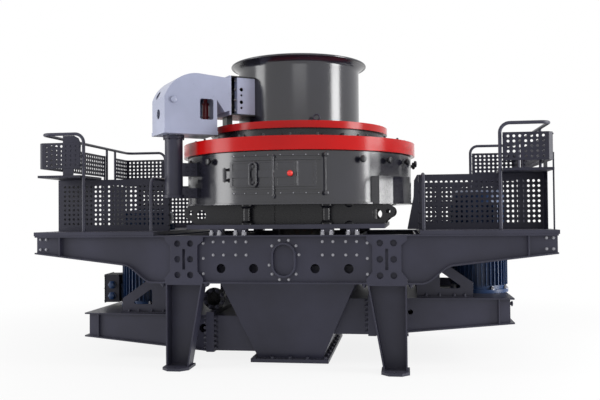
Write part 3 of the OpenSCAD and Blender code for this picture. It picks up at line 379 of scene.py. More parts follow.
class Graph:
    """The node tree of one material or world."""

    def __init__(self, tree: bpy.types.NodeTree) -> None:
        """Empties the tree and keeps it."""
        self.tree = tree
        tree.nodes.clear()

    def node(self, kind: str, settings: Optional[dict[str, Any]] = None,
             inputs: Optional[dict[Union[str, int], Value]] = None,
             output: Union[str, int] = 0) -> Wire:
        """Adds a node.

        Args:
            kind: the node's type.
            settings: attributes, which are set before the sockets.
            inputs: values or wires by socket name or number.
            output: name or number of the output that is wanted.

        Returns:
            That output.
        """
        made = self.tree.nodes.new(kind)
        for name, value in (settings or {}).items():
            setattr(made, name, value)
        for name, value in (inputs or {}).items():
            if isinstance(value, Wire):
                self.tree.links.new(value.socket, made.inputs[name])
            else:
                made.inputs[name].default_value = value
        return Wire(self, made.outputs[output])

    def place(self) -> Wire:
        """Returns the position in the object's own coordinates."""
        return self.node("ShaderNodeTexCoord", output="Object")

    def noise(self, scale: float, detail: float = 3.0, stretch: Sequence[float] = (1, 1, 1),
              roughness: float = 0.55) -> Wire:
        """Returns cloudy noise between 0 and 1 in object coordinates.

        Args:
            scale: cells a metre.
            detail: number of finer layers.
            stretch: scale along each axis before the noise is read.
            roughness: strength of the finer layers.

        Returns:
            The noise's strength.
        """
        where = self.node("ShaderNodeMapping", {}, {"Vector": self.place(), "Scale": stretch})
        return self.node("ShaderNodeTexNoise", {}, {
            "Vector": where, "Scale": scale, "Detail": detail, "Roughness": roughness}, "Fac")

    def height(self) -> Wire:
        """Returns Z in the row frame."""
        return self.node("ShaderNodeSeparateXYZ", {}, {"Vector": self.place()}, "Z")

    def upward(self) -> Wire:
        """Returns how far the surface faces up, from -1 to 1."""
        normal = self.node("ShaderNodeNewGeometry", output="Normal")
        return self.node("ShaderNodeSeparateXYZ", {}, {"Vector": normal}, "Z")

    def rounded(self, radius: float) -> Wire:
        """Returns the surface normal with edges rounded to a radius in metres."""
        return self.node("ShaderNodeBevel", {"samples": 4}, {"Radius": radius})

    def edges(self, rounded: Wire) -> Wire:
        """Returns 1 on sharp edges and 0 on faces: how far the rounded normal has turned."""
        normal = self.node("ShaderNodeNewGeometry", output="Normal")
        same = self.node("ShaderNodeVectorMath", {"operation": "DOT_PRODUCT"},
                         {0: rounded, 1: normal}, "Value")
        return (1 - same).ramp(0.015, 0.22)

    def mix(self, factor: Value, first: Value, second: Value) -> Wire:
        """Returns a colour between first and second."""
        made = self.tree.nodes.new("ShaderNodeMix")
        made.data_type = "RGBA"
        sockets = {"Factor": (made.inputs[0], factor), "A": (made.inputs[6], first),
                   "B": (made.inputs[7], second)}
        for socket, value in sockets.values():
            if isinstance(value, Wire):
                self.tree.links.new(value.socket, socket)
            else:
                socket.default_value = value
        return Wire(self, made.outputs[2])

    def finish(self, shader: Wire, kind: str = "ShaderNodeOutputMaterial") -> None:
        """Links a shader to the output of the material or world."""
        made = self.tree.nodes.new(kind)
        self.tree.links.new(shader.socket, made.inputs["Surface"])


def rgba(colour: Colour) -> tuple[float, float, float, float]:
    """Returns a colour with full alpha."""
    return (*colour, 1.0)


# ---------------------------------------------------------------- finishes


@dataclass(frozen=True)
class Paint:
    """Sprayed paint on steel: cloudy tone, faint runs, dust on ledges, sharp edges painted lighter (partly
    edge wear, partly a painted highlight) and a fine peel.
    """

    slot: str
    colour: Colour
    roughness: float = 0.42
    coat: float = 0.0
    specular: float = 0.4
    tone: float = 0.18
    dust: float = 0.10
    runs: float = 0.10
    peel: float = 0.03
    # how much lighter sharp edges are painted: partly edge wear, partly a painted highlight for the bright
    # edges of flanges
    edge: float = 0.35

    def material(self) -> bpy.types.Material:
        """Builds the paint.

        Returns:
            A material named after the slot.
        """
        made = bpy.data.materials.new(f"{self.slot}_finish")
        made.use_nodes = True
        graph = Graph(made.node_tree)
        cloud = graph.noise(1.7, 4.0)
        fine = graph.noise(38.0, 3.0)
        streak = graph.noise(9.0, 3.0, (1.0, 1.0, 0.12)).ramp(0.52, 0.78)
        dusty = graph.upward().ramp(0.3, 0.95) * graph.noise(5.0, 5.0).ramp(0.25, 0.8)
        darker = tuple(c * (1 - self.tone) for c in self.colour)
        lighter = tuple(min(1.0, c * (1 + self.tone)) for c in self.colour)
        body = graph.mix(cloud.ramp(0.3, 0.7), rgba(darker), rgba(lighter))
        body = graph.mix(streak * self.runs, body, rgba(tuple(c * 0.55 for c in self.colour)))
        body = graph.mix(dusty * self.dust, body, rgba(DUST))
        rounded = graph.rounded(EDGE_RADIUS)
        # sharp edges painted lighter: partly edge wear, partly a painted highlight standing in for the
        # bright edges of flanges
        wear_and_painted_highlight = graph.edges(rounded) * graph.noise(24.0, 3.0).ramp(0.25, 0.75) * self.edge
        body = graph.mix(wear_and_painted_highlight, body, rgba(tuple(min(1.0, c * 2.2 + 0.03) for c in self.colour)))
        rough = (self.roughness + (fine - 0.5) * 0.10 + dusty * 0.25 * self.dust
                 + (cloud - 0.5) * 0.08)
        bump = graph.node("ShaderNodeBump", {}, {
            "Strength": self.peel, "Distance": 0.002, "Height": graph.noise(320.0, 2.0),
            "Normal": rounded})
        graph.finish(graph.node("ShaderNodeBsdfPrincipled", {}, {
            "Base Color": body, "Roughness": rough.clamped(), "Normal": bump,
            "Specular IOR Level": self.specular, "Coat Weight": self.coat,
            "Coat Roughness": 0.08}))
        return made


DUST: Colour = (0.30, 0.28, 0.26)
EDGE_RADIUS = 0.003


@dataclass(frozen=True)
class Steel:
    """Bare or plated steel with fine rubbing marks."""

    slot: str
    colour: Colour
    roughness: float = 0.32
    metallic: float = 1.0
    rust: float = 0.0

    def material(self) -> bpy.types.Material:
        """Builds the metal.

        Returns:
            A material named after the slot.
        """
        made = bpy.data.materials.new(f"{self.slot}_finish")
        made.use_nodes = True
        graph = Graph(made.node_tree)
        cloud = graph.noise(14.0, 4.0)
        rub = graph.noise(160.0, 2.0, (1.0, 1.0, 0.2))
        rusty = cloud.ramp(0.5, 0.7) * self.rust
        body = graph.mix(rusty, rgba(self.colour), rgba((0.16, 0.07, 0.035)))
        graph.finish(graph.node("ShaderNodeBsdfPrincipled", {}, {
            "Base Color": body, "Metallic": self.metallic * (1 - rusty),
            "Roughness": (self.roughness + (rub - 0.5) * 0.16 + rusty * 0.3).clamped()}))
        return made


class Finish(Enum):
    """Every finish on the machine, by what it covers."""

    FRAME = Paint("frame_paint", (0.030, 0.030, 0.050), specular=0.35)
    PANEL = Paint("panel_paint", (0.012, 0.012, 0.026), roughness=0.5, specular=0.35)
    GLOSS = Paint("gloss_paint", (0.012, 0.012, 0.020), roughness=0.18, specular=0.8)
    BLACK = Paint("black_paint", (0.008, 0.008, 0.012), roughness=0.28, specular=0.4)
    RED = Paint("ring_red", (0.52, 0.003, 0.003), roughness=0.20, specular=0.25, tone=0.06,
                dust=0.03, runs=0.03, edge=0.1)
    JIB = Paint("jib_grey", (0.39, 0.42, 0.57), roughness=0.30, specular=0.5, tone=0.10)
    JACK = Paint("jack_red", (0.16, 0.004, 0.010), roughness=0.3, specular=0.5)
    BLUE = Paint("motor_blue", (0.010, 0.036, 0.110), roughness=0.36, tone=0.12)
    ROD = Steel("rod_steel", (0.62, 0.62, 0.64), roughness=0.2)
    CAST = Steel("cast_parts", (0.11, 0.105, 0.10), roughness=0.6, rust=0.6)
    ZINC = Steel("zinc_plate", (0.32, 0.32, 0.35), roughness=0.42)
    KNOB = Paint("knob_red", (0.80, 0.02, 0.012), roughness=0.22, coat=0.6, tone=0.02, dust=0.0,
                 runs=0.0)

    def material(self) -> bpy.types.Material:
        """Returns the finish's material, building it the first time."""
        return bpy.data.materials.get(f"{self.value.slot}_finish") or self.value.material()


SLOTS = {finish.value.slot: finish for finish in Finish}


class Body(Enum):
    """The moving bodies of the machine."""

    FRAME = "frame"
    LIFT = "lift"
    LID = "lid"
    DOOR = "door"


def piece(name: str, surface: Surface, finish: Finish, body: Body, smooth: float = 40.0) -> bpy.types.Object:
    """Puts a surface into the scene.

    Args:
        name: the piece's name in a maker's words.
        surface: its mesh in the row frame.
        finish: its finish.
        body: the body that it rides on.
        smooth: edges sharper than this angle in degrees stay crisp.

    Returns:
        The object, at the origin and unturned.
    """
    mesh = bpy.data.meshes.new(name)
    mesh.from_pydata(surface.points.tolist(), [], surface.faces)
    mesh.update()
    made = bpy.data.objects.new(name, mesh)
    bpy.context.scene.collection.objects.link(made)
    mesh.materials.append(finish.material())
    mesh.polygons.foreach_set("use_smooth", np.ones(len(mesh.polygons), bool))
    mesh.set_sharp_from_angle(angle=math.radians(smooth))
    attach(made, body.value)
    LOG.info("%s: %d faces, rides on %s", name, len(surface.faces), body.value)
    return made


# ---------------------------------------------------------------- sub-assemblies

# how far the oval port's bolts stand behind the port's own front
PORT_PROUD = 0.045


@dataclass
class Girders:
    """Bolts of the two main girders, their ports and the plates over the legs."""

    web_rows: tuple[float, ...] = (0.365, 0.465, 0.585, 0.687)
    row_heights: tuple[float, ...] = (1.084, 1.209)
    side_x: float = 0.785
    side_heights: tuple[float, ...] = (1.196, 1.052, 0.905)
    port_bolts: int = 10
    tip_x: tuple[float, ...] = (2.39, 2.45)
    tip_heights: tuple[float, ...] = (1.237, 1.138)
    small: Bolt = Bolt(0.020, 0.010, 0.014)
    large: Bolt = Bolt(0.036, 0.018, 0.025, 0.012)

    def web_points(self) -> Array:
        """Returns the bolt places on the front web."""
        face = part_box("front_girder")[0][1] + self.proud()
        sides = (-1.0, 1.0)
        web_x = [side * x for side in sides for x in self.web_rows]
        grids = [rows(web_x, [face], self.row_heights),
                 rows([side * self.side_x for side in sides], [face], self.side_heights),
                 rows([side * x for side in sides for x in self.tip_x], [face],
                      self.tip_heights)]
        return np.concatenate(grids)

    def proud(self) -> float:
        """Returns how far the flanges stand in front of the web."""
        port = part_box("girder_ports")
        return port[0][1] + PORT_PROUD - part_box("front_girder")[0][1]

    def port_points(self) -> Array:
        """Returns bolt places on a stadium round the oval port.

        The outline is the neck's own, let out by a margin: a half circle above and one below,
        so that x = r sin(a) and z = the nearer centre + r cos(a).
        """
        low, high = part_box("girder_ports")
        half_w = (high[0] - low[0]) / 2 + 0.028
        half_h = (high[2] - low[2]) / 2 + 0.028
        angle = np.radians((np.arange(self.port_bolts) + 0.5) * 360 / self.port_bolts)
        lift = np.where(np.cos(angle) > 0, half_h - half_w, half_w - half_h)
        middle = (high[2] + low[2]) / 2
        return np.stack([half_w * np.sin(angle), np.full_like(angle, low[1] + PORT_PROUD),
                         middle + lift + half_w * np.cos(angle)], -1)

    def under_points(self) -> Array:
        """Returns nut places under the bottom flange at the head of each front leg."""
        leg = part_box("leg_front_right")
        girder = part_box("front_girder")
        edge = girder[0][1] + 0.030
        xs = np.array([leg[0][0] - 0.030, leg[1][0] + 0.018])
        return rows(np.concatenate([-xs, xs]), [edge, edge + 0.06], [girder[0][2]])

    def dress(self) -> None:
        """Adds the bolts to both girders."""
        both = np.concatenate([self.web_points(), self.port_points()])
        front = self.small.at(both, FRONT)
        back = self.small.at(mirrored(both, (1, -1, 1)), -FRONT)
        piece("girder_web_bolts", Surface.joined([front, back]), Finish.ZINC, Body.FRAME)
        below = self.under_points()
        nuts = [self.large.at(below, -UP), self.large.at(mirrored(below, (1, -1, 1)), -UP)]
        piece("leg_head_nuts", Surface.joined(nuts), Finish.FRAME, Body.FRAME)


@dataclass
class Chamber:
    """Clamps round the drum and nuts on the pads under its seat plate."""

    knob_degrees: tuple[float, ...] = tuple(float(a) for a in np.arange(36.9, 328, 15.9))
    knob_drop: float = 0.077
    pad_nut: Bolt = Bolt(0.044, 0.030, 0.024, 0.016)
    pads: tuple[float, ...] = (-0.700, -0.625, -0.465, -0.385, 0.370, 0.450, 0.610, 0.690)
    pad_edge: float = 0.014

    def knob(self) -> Surface:
        """Returns a stubby clamp: a short shank and a wide rounded head."""
        return lathe([(0.017, -0.004), (0.017, 0.016), (0.031, 0.018), (0.034, 0.026),
                      (0.034, 0.036), (0.028, 0.044), (0.012, 0.047)], 20)

    def dress(self) -> None:
        """Adds the clamps round the drum and the nuts on the pads."""
        low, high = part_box("drum")
        radius = (high[0] - low[0]) / 2
        places, normals = round_z(radius, np.array(self.knob_degrees), high[2] - self.knob_drop)
        piece("drum_clamps", stamped(self.knob(), places, normals), Finish.BLACK, Body.FRAME)
        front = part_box("seat_plate")[0][1] - self.pad_edge
        nuts = rows(self.pads, [front, -front], [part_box("deck_left")[0][2]])
        piece("pad_nuts", self.pad_nut.at(nuts, UP), Finish.ZINC, Body.FRAME)


@dataclass
class Lid:
    """Studs on the lid, screws of the crown and the lifting eyes."""

    stud_count: int = 28
    stud: Bolt = Bolt(0.036, 0.020, 0.026, 0.022)
    eye_degrees: tuple[float, ...] = (21.0, 201.0)

    def eye(self) -> Surface:
        """Returns a lifting eye: a ring on a short collar, in the XZ plane."""
        angle = np.linspace(0, 2 * np.pi, 24, endpoint=False)
        hoop = np.stack([0.030 * np.sin(angle), np.zeros_like(angle),
                         0.050 + 0.030 * np.cos(angle)], -1)
        return Surface.joined([lathe([(0.022, -0.002), (0.022, 0.010), (0.012, 0.018)], 16),
                               tube(hoop, 0.009, (0, 1, 0), 10, closed=True)])

    def dress(self) -> None:
        """Adds the studs and eyes, which ride on the lid."""
        low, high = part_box("lid_crown")
        crown = (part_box("top_ring")[1][0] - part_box("top_ring")[0][0]) / 2
        plate_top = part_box("lid_ring")[1][2] - 0.012
        degrees = np.arange(self.stud_count) * 360 / self.stud_count + 4.0
        outer = (high[0] - low[0]) / 2 - 0.055
        places, _ = round_z(outer, degrees, plate_top)
        studs = [self.stud.at(places, UP)]
        inner, normals = round_z(crown - 0.040, degrees + 6.0, plate_top + 0.055)
        studs.append(Bolt(0.030, 0.014, 0.020).at(inner, normals))
        piece("lid_studs", Surface.joined(studs), Finish.BLACK, Body.LID)
        ring_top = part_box("top_ring")[1][2]
        spots, _ = round_z(crown - 0.17, np.array(self.eye_degrees), ring_top)
        piece("lifting_eyes", stamped(self.eye(), spots, UP), Finish.FRAME, Body.LID)


@dataclass
class Drive:
    """Joint nuts, hanger feet, terminal covers, cowls and foot bolts of the drives."""

    foot_bolts: int = 8
    foot: Bolt = Bolt(0.036, 0.020, 0.026, 0.012)
    joint: Bolt = Bolt(0.030, 0.018, 0.021, 0.010)
    joint_x: float = 0.850
    joint_w: float = 0.080
    hanger_x: tuple[float, float] = (1.245, 1.783)
    hanger_y: float = 0.608
    foot_w: float = 0.055
    box_tops: tuple[float, float] = (0.467, 0.650)
    end_wall: float = 2.124
    motors: tuple[float, float] = (1.720, 1.900)
    terminal_degrees: tuple[float, float] = (-6.0, 105.0)
    terminal_face: float = 0.294
    terminal_size: tuple[float, float, float] = (0.155, 0.320, 0.300)
    terminal_rise: float = 0.050
    eye_drop: float = 0.068
    eye_half: float = 0.55
    hanger_bolt_x: tuple[float, ...] = (1.33, 1.46, 1.60, 1.70)

    def joints(self) -> Surface:
        """Returns the nuts in the overhanging flanges where the drive boxes are bolted on."""
        parts = []
        for sign, top in zip((-1.0, 1.0), self.box_tops):
            heights = np.linspace(top - 0.335, top - 0.030, 7)
            outer = rows([sign * self.joint_x], [-0.732, 0.732], heights)
            inner = rows([sign * (self.joint_x - self.joint_w)], [-0.736, 0.736], heights)
            parts += [self.joint.at(outer, RIGHT * sign), self.joint.at(inner, -RIGHT * sign)]
        return Surface.joined(parts)

    def hanger_feet(self) -> tuple[Surface, Surface]:
        """Returns the angle strips at the foot of each hanger plate, and their bolts."""
        strips = []
        bolts = []
        start, end = self.hanger_x
        for sign, top in zip((-1.0, 1.0), self.box_tops):
            for side in (-1.0, 1.0):
                near, far = sorted((side * self.hanger_y, side * (self.hanger_y + self.foot_w)))
                low, high = sorted((sign * start, sign * end))
                strips.append(block((low, near, top - 0.001), (high, far, top + 0.010)))
                places = rows(sign * np.array(self.hanger_bolt_x),
                              [side * (self.hanger_y + self.foot_w * 0.55)], [top + 0.010])
                bolts.append(Bolt(0.024, 0.014, 0.017, 0.008).at(places, UP))
        return Surface.joined(strips), Surface.joined(bolts)

    def tip_eyes(self) -> Surface:
        """Returns the towing stubs on the end walls of both drive boxes."""
        stub = lathe([(0.030, -0.002), (0.030, 0.006), (0.016, 0.008), (0.016, 0.024),
                      (0.026, 0.026), (0.026, 0.036), (0.018, 0.040)], 24)
        spots = [(sign * self.end_wall, y, top - self.eye_drop)
                 for sign, top in zip((-1.0, 1.0), self.box_tops)
                 for y in (-self.eye_half, self.eye_half)]
        return stamped(stub, spots, [RIGHT * -1] * 2 + [RIGHT] * 2)

    def terminal_covers(self) -> tuple[Surface, Surface, Surface]:
        """Returns the lids of the terminal boxes, their screws and the cable glands.

        Everything is placed in the box's own frame, u outwards and v across, then turned.
        """
        covers, screws, glands = [], [], []
        gland = lathe([(0.046, -0.002), (0.046, 0.010), (0.036, 0.014), (0.036, 0.030),
                       (0.030, 0.034)], 6)
        depth, width, height = self.terminal_size
        face = self.terminal_face + depth
        for sign, top, x, degrees in zip((-1.0, 1.0), self.box_tops, self.motors,
                                         self.terminal_degrees):
            angle = math.radians(degrees)
            out = np.array([sign * math.cos(angle), math.sin(angle), 0.0])
            across = np.cross(UP, out) * sign
            basis = np.stack([out, across, UP])
            origin = np.array([sign * x, 0.0, top + self.terminal_rise])
            edge = width / 2 + 0.006
            cover = block((face - 0.002, -edge, -0.006), (face + 0.006, edge, height + 0.006))
            if sign < 0:
                cover = Surface(cover.points, [side[::-1] for side in cover.faces])
            covers.append(cover.turned(basis).moved(origin))
            spots = rows([face + 0.006], [0.018 - edge, edge - 0.018],
                         [0.014, height / 2, height - 0.014]) @ basis + origin
            screws.append(Bolt(0.012, 0.006, 0.008).at(spots, out))
            spots = rows([face - depth / 2], [-width / 2], [0.070, 0.190]) @ basis + origin
            glands.append(stamped(gland, spots, -across))
        return Surface.joined(covers), Surface.joined(screws), Surface.joined(glands)

    def cowl(self, low: Sequence[float], high: Sequence[float]) -> Surface:
        """Returns the rings of a fan cowl's guard over a motor."""
        centre = ((low[0] + high[0]) / 2, (low[1] + high[1]) / 2, high[2])
        rings = [ring([(r, 0.001), (r + 0.007, 0.001), (r + 0.007, 0.008), (r, 0.008)], 40)
                 for r in np.arange(0.05, 0.19, 0.026)]
        bars = [block((-0.19, -0.006, 0.001), (0.19, 0.006, 0.009)),
                block((-0.006, -0.19, 0.001), (0.006, 0.19, 0.009))]
        return Surface.joined(rings + bars).moved(centre)

    def dress(self) -> None:
        """Adds the fittings of both motors, their boxes and their hangers."""
        guards = []
        bolts = []
        for side in ("left", "right"):
            low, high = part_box(f"motor_{side}")
            guards.append(self.cowl(low, high))
            middle = np.array([(low[0] + high[0]) / 2, (low[1] + high[1]) / 2, 0.0])
            degrees = (np.arange(self.foot_bolts) + 0.5) * 360 / self.foot_bolts
            spots, _ = round_z((high[0] - low[0]) / 2 - 0.018, degrees, low[2] + 0.036)
            bolts.append(self.foot.at(spots + middle, UP))
        piece("joint_nuts", self.joints(), Finish.FRAME, Body.FRAME)
        strips, strip_bolts = self.hanger_feet()
        piece("hanger_feet", strips, Finish.FRAME, Body.FRAME)
        piece("hanger_bolts", strip_bolts, Finish.FRAME, Body.FRAME)
        piece("tip_stubs", self.tip_eyes(), Finish.FRAME, Body.FRAME)
        covers, screws, glands = self.terminal_covers()
        piece("terminal_covers", covers, Finish.BLACK, Body.FRAME)
        piece("terminal_screws", screws, Finish.ZINC, Body.FRAME)
        piece("cable_glands", glands, Finish.BLUE, Body.FRAME)
        piece("cowl_guards", Surface.joined(guards), Finish.BLUE, Body.FRAME)
        piece("motor_foot_bolts", Surface.joined(bolts), Finish.ZINC, Body.FRAME)


@dataclass
class Hatch:
    """Fittings of the hatch: handle hoop, rod ends, knobs, rail screws and the red ball."""

    hoop_degrees: float = -12.2
    hoop_height: float = 1.842
    hoop_rise: float = 0.075
    rod_ends: tuple[float, float] = (2.0, 1.642)
    knob_heights: tuple[float, float] = (1.664, 2.022)
    rail_heights: tuple[float, float] = (1.6665, 2.0205)
    hoop_half: tuple[float, float] = (0.034, 0.112)
    hoop_tube: float = 0.011
    rod_degrees: tuple[float, float] = (-3.2, 7.2)
    lock_degrees: float = 19.5
    reach: float = 0.034
    ball_degrees: float = 4.3
    ball_reach: float = 1.278
    ball_height: float = 1.846
    ball_radius: float = 0.0278

    def hoop(self) -> Surface:
        """Returns an upright stadium hoop: half circles joined by straight sides."""
        half_w, half_h = self.hoop_half
        angle = np.linspace(0, 2 * np.pi, 36, endpoint=False)
        rise = np.where(np.cos(angle) >= 0, half_h - half_w, half_w - half_h)
        path = np.stack([half_w * np.sin(angle), rise + half_w * np.cos(angle),
                         np.full_like(angle, 0.0)], -1)
        return tube(path, self.hoop_tube, (0, 0, 1), 10, closed=True)

    def dress(self) -> None:
        """Adds the door's hoop, rod ends and ball, and the knobs and screws of its frame."""
        shell = (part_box("lid_crown")[1][0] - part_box("lid_crown")[0][0]) / 2
        place, normal = round_z(shell + self.reach + 0.012, np.array([self.hoop_degrees]),
                                self.hoop_height)
        posts, _ = round_z(shell + self.reach + 0.012, np.array([self.hoop_degrees] * 2), 0.0)
        posts[:, 2] = (self.hoop_height - self.hoop_rise, self.hoop_height + self.hoop_rise)
        stem = lathe([(0.013, -0.034), (0.013, 0.0)], 12)
        piece("hatch_hoop", Surface.joined([stamped(self.hoop(), place, normal),
                                            stamped(stem, posts, np.repeat(normal, 2, 0))]),
              Finish.GLOSS, Body.DOOR)
        nut = Bolt(0.024, 0.014, 0.016, 0.010)
        ends, _ = round_z(shell + self.reach + 0.001, np.array([self.rod_degrees[0]] * 2), 0.0)
        ends[:, 2] = self.rod_ends
        piece("hatch_rod_nuts", nut.at(ends, np.array([UP, -UP])), Finish.GLOSS, Body.DOOR)
        knobs, outward = round_z(shell + 0.036, np.array([self.lock_degrees] * 2), 0.0)
        knobs[:, 2] = self.knob_heights
        ball = lathe([(0.010, -0.004), (0.019, 0.004), (0.023, 0.016), (0.019, 0.028),
                      (0.008, 0.034)], 20)
        piece("lock_bar_knobs", stamped(ball, knobs, outward), Finish.GLOSS, Body.FRAME)
        screws_deg = np.linspace(-22.0, 16.5, 8)
        places = []
        normals = []
        for height in self.rail_heights:
            spots, out = round_z(shell + 0.020, screws_deg, height)
            places.append(spots)
            normals.append(out)
        piece("hatch_rail_screws", Bolt(0.010, 0.005, 0.0055).at(np.concatenate(places),
                                                                np.concatenate(normals)),
              Finish.ZINC, Body.FRAME)
        centre, out = round_z(self.ball_reach, np.array([self.ball_degrees]), self.ball_height)
        angle = np.linspace(-85, 85, 15) * np.pi / 180
        ball = lathe(np.stack([self.ball_radius * np.cos(angle),
                               self.ball_radius * np.sin(angle)], -1), 28)
        piece("clamp_knob_ball", stamped(ball, centre, out), Finish.KNOB, Body.DOOR)


@dataclass
class Jib:
    """Pins and bolts of the lid-lifting jib, in its own frame along the arm."""

    reach: float = 1.427
    heading: float = math.radians(36.565)
    half: float = 0.2015
    boss: tuple[float, float] = (-0.069, 2.597)
    jack_radius: float = 0.032
    collar_bolts: float = 0.097
    plate_heights: tuple[float, ...] = (2.53, 2.64, 2.75, 2.84)
    ring_heights: tuple[float, ...] = (2.37, 2.47, 2.60)
    clamp_x: tuple[float, float] = (0.115, 0.175)
    clamp_y: float = 0.060
    clamp_heights: tuple[float, ...] = (1.665, 1.715, 1.885, 1.925, 1.965)

    @property
    def column(self) -> tuple[float, float]:
        """Where the column's axis stands."""
        return (-self.reach * math.cos(self.heading), -self.reach * math.sin(self.heading))

    def along(self) -> Array:
        """Returns the arm's basis: along it, across it and up, one axis a row."""
        length = math.hypot(*self.column)
        ahead = np.array([-self.column[0] / length, -self.column[1] / length, 0.0])
        return np.stack([ahead, np.cross(UP, ahead), UP])

    def placed(self, points: Array) -> Array:
        """Returns points of the arm's frame in the row frame."""
        return np.asarray(points, float) @ self.along() + np.array([*self.column, 0.0])

    def dress(self) -> None:
        """Adds the cross pin's heads, the plate bolts, the jack's rings and the column's bolts."""
        basis = self.along()
        pin = lathe([(0.030, -0.002), (0.030, 0.005), (0.024, 0.008), (0.012, 0.008)], 24)
        both = self.placed([(self.boss[0], sign * (self.half + 0.014), self.boss[1])
                            for sign in (1, -1)])
        piece("jib_pin_heads", stamped(pin, both, np.array([basis[1], -basis[1]])), Finish.JIB,
              Body.LID)
        joint = self.placed(rows((0.607,), (-0.160, 0.160), self.plate_heights))
        piece("jib_plate_bolts", Bolt(0.024, 0.012, 0.016).at(joint, -basis[0]), Finish.ZINC,
              Body.LID)
        low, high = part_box("jib_jack")
        centre = ((low[0] + high[0]) / 2, (low[1] + high[1]) / 2)
        skin = self.jack_radius - 0.0005
        rings = [ring([(skin, z - 0.008), (skin + 0.007, z - 0.006), (skin + 0.007, z + 0.006),
                       (skin, z + 0.008)], 32).moved((*centre, 0.0)) for z in self.ring_heights]
        piece("jack_rings", Surface.joined(rings), Finish.JACK, Body.LID)
        low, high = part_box("jib_column")
        collars = []
        for height, up in ((high[2], UP), (high[2] - 0.030, -UP)):
            angle = np.radians(np.arange(6) * 60 + 15)
            spots = np.stack([self.collar_bolts * np.cos(angle) + self.column[0],
                              self.collar_bolts * np.sin(angle) + self.column[1],
                              np.full_like(angle, height)], -1)
            collars.append(Bolt(0.012, 0.008, 0.007).at(spots, up))
        clamp = Bolt(0.026, 0.014, 0.018)
        clamps = []
        for sign in (-1, 1):
            spots = self.placed(rows(self.clamp_x, (sign * self.clamp_y,), self.clamp_heights))
            clamps.append(clamp.at(spots, sign * basis[1]))
        piece("jib_column_bolts", Surface.joined(collars + clamps), Finish.FRAME, Body.FRAME)


@dataclass
class Decks:
    """Bolts and clips of the guards and rails on both decks."""

    clip: Bolt = Bolt(0.016, 0.008, 0.0115)
    post: Bolt = Bolt(0.022, 0.011, 0.015)
    gusset: tuple[tuple[float, float], ...] = ((1.269, 1.312), (1.269, 1.846), (1.258, 1.847),
                                               (1.227, 1.791), (1.221, 1.631), (1.159, 1.321),
                                               (1.159, 1.312))
    outer_x: float = 2.462
    sheet_top: float = 2.194
    ledge_lip: float = 0.014
    posts: tuple[float, float] = (2.029, 1.969)

    def gussets(self) -> Surface:
        """Returns the upright corner plate at the right front guard's inner end."""
        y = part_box("guard_front_right")[0][1] + 0.004
        plate = prism(np.array(self.gusset), 0.006)
        return plate.turned(np.stack([RIGHT, UP, FRONT])).moved((0, y, 0))

    def dress(self) -> None:
        """Adds the corner plate, and bolts to the guards, the rail posts and the baskets."""
        piece("corner_gusset", self.gussets(), Finish.PANEL, Body.FRAME)
        parts = []
        for side, sign in (("left", -1), ("right", 1)):
            low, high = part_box(f"guard_front_{side}")
            inner = min(abs(low[0]), abs(high[0]))
            heights = np.linspace(low[2] + 0.06, high[2] - 0.06, 5)
            spots = rows([sign * (inner + 0.013)], [low[1]], heights)
            parts.append(self.clip.at(spots, FRONT))
            spots[:, 1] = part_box("guards_back")[1][1]
            parts.append(self.clip.at(spots, -FRONT))
            low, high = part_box(f"basket_{side}")
            edges = (low[1] + self.ledge_lip, high[1] - self.ledge_lip)
            heights = np.linspace(self.sheet_top - 0.22, self.sheet_top - 0.035, 3)
            for post, edge, facing in zip(self.posts, edges, (FRONT, -FRONT)):
                parts.append(self.post.at(rows([sign * post], [edge], heights), facing))
            spots = rows([sign * self.outer_x], np.linspace(-1.02, 0.46, 5),
                         [self.sheet_top - 0.015, self.sheet_top - 0.240])
            parts.append(self.clip.at(spots, RIGHT * sign))
        piece("guard_bolts", Surface.joined(parts), Finish.PANEL, Body.FRAME)


@dataclass
class Discharge:
    """Bolts of the chute's flange and of the round stub."""

    flange: Bolt = Bolt(0.030, 0.016, 0.022)
    stub: Bolt = Bolt(0.030, 0.016, 0.022, 0.012)
    half_x: float = 0.385 - 0.032
    half_y: float = 0.810 - 0.032
    flange_top: float = 0.050

    def dress(self) -> None:
        """Adds the bolts all round the chute's flange and round the stub."""
        along_y = rows([-self.half_x, self.half_x], np.linspace(-self.half_y, self.half_y, 9),
                       [self.flange_top])
        along_x = rows(np.linspace(-self.half_x, self.half_x, 5)[1:-1],
                       [-self.half_y, self.half_y], [self.flange_top])
        piece("chute_flange_bolts", self.flange.at(np.concatenate([along_y, along_x]), UP),
              Finish.FRAME, Body.FRAME)
        low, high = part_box("drain_stub")
        centre = np.array([(low[0] + high[0]) / 2, low[1], high[2] - (high[0] - low[0]) / 2])
        radius = (high[0] - low[0]) / 2 - 0.020
        angle = np.radians((np.arange(8) + 0.5) * 45)
        spots = centre + radius * np.stack([np.cos(angle), np.zeros(8), np.sin(angle)], -1)
        piece("stub_bolts", self.stub.at(spots, FRONT), Finish.FRAME, Body.FRAME)


# ---------------------------------------------------------------- studio


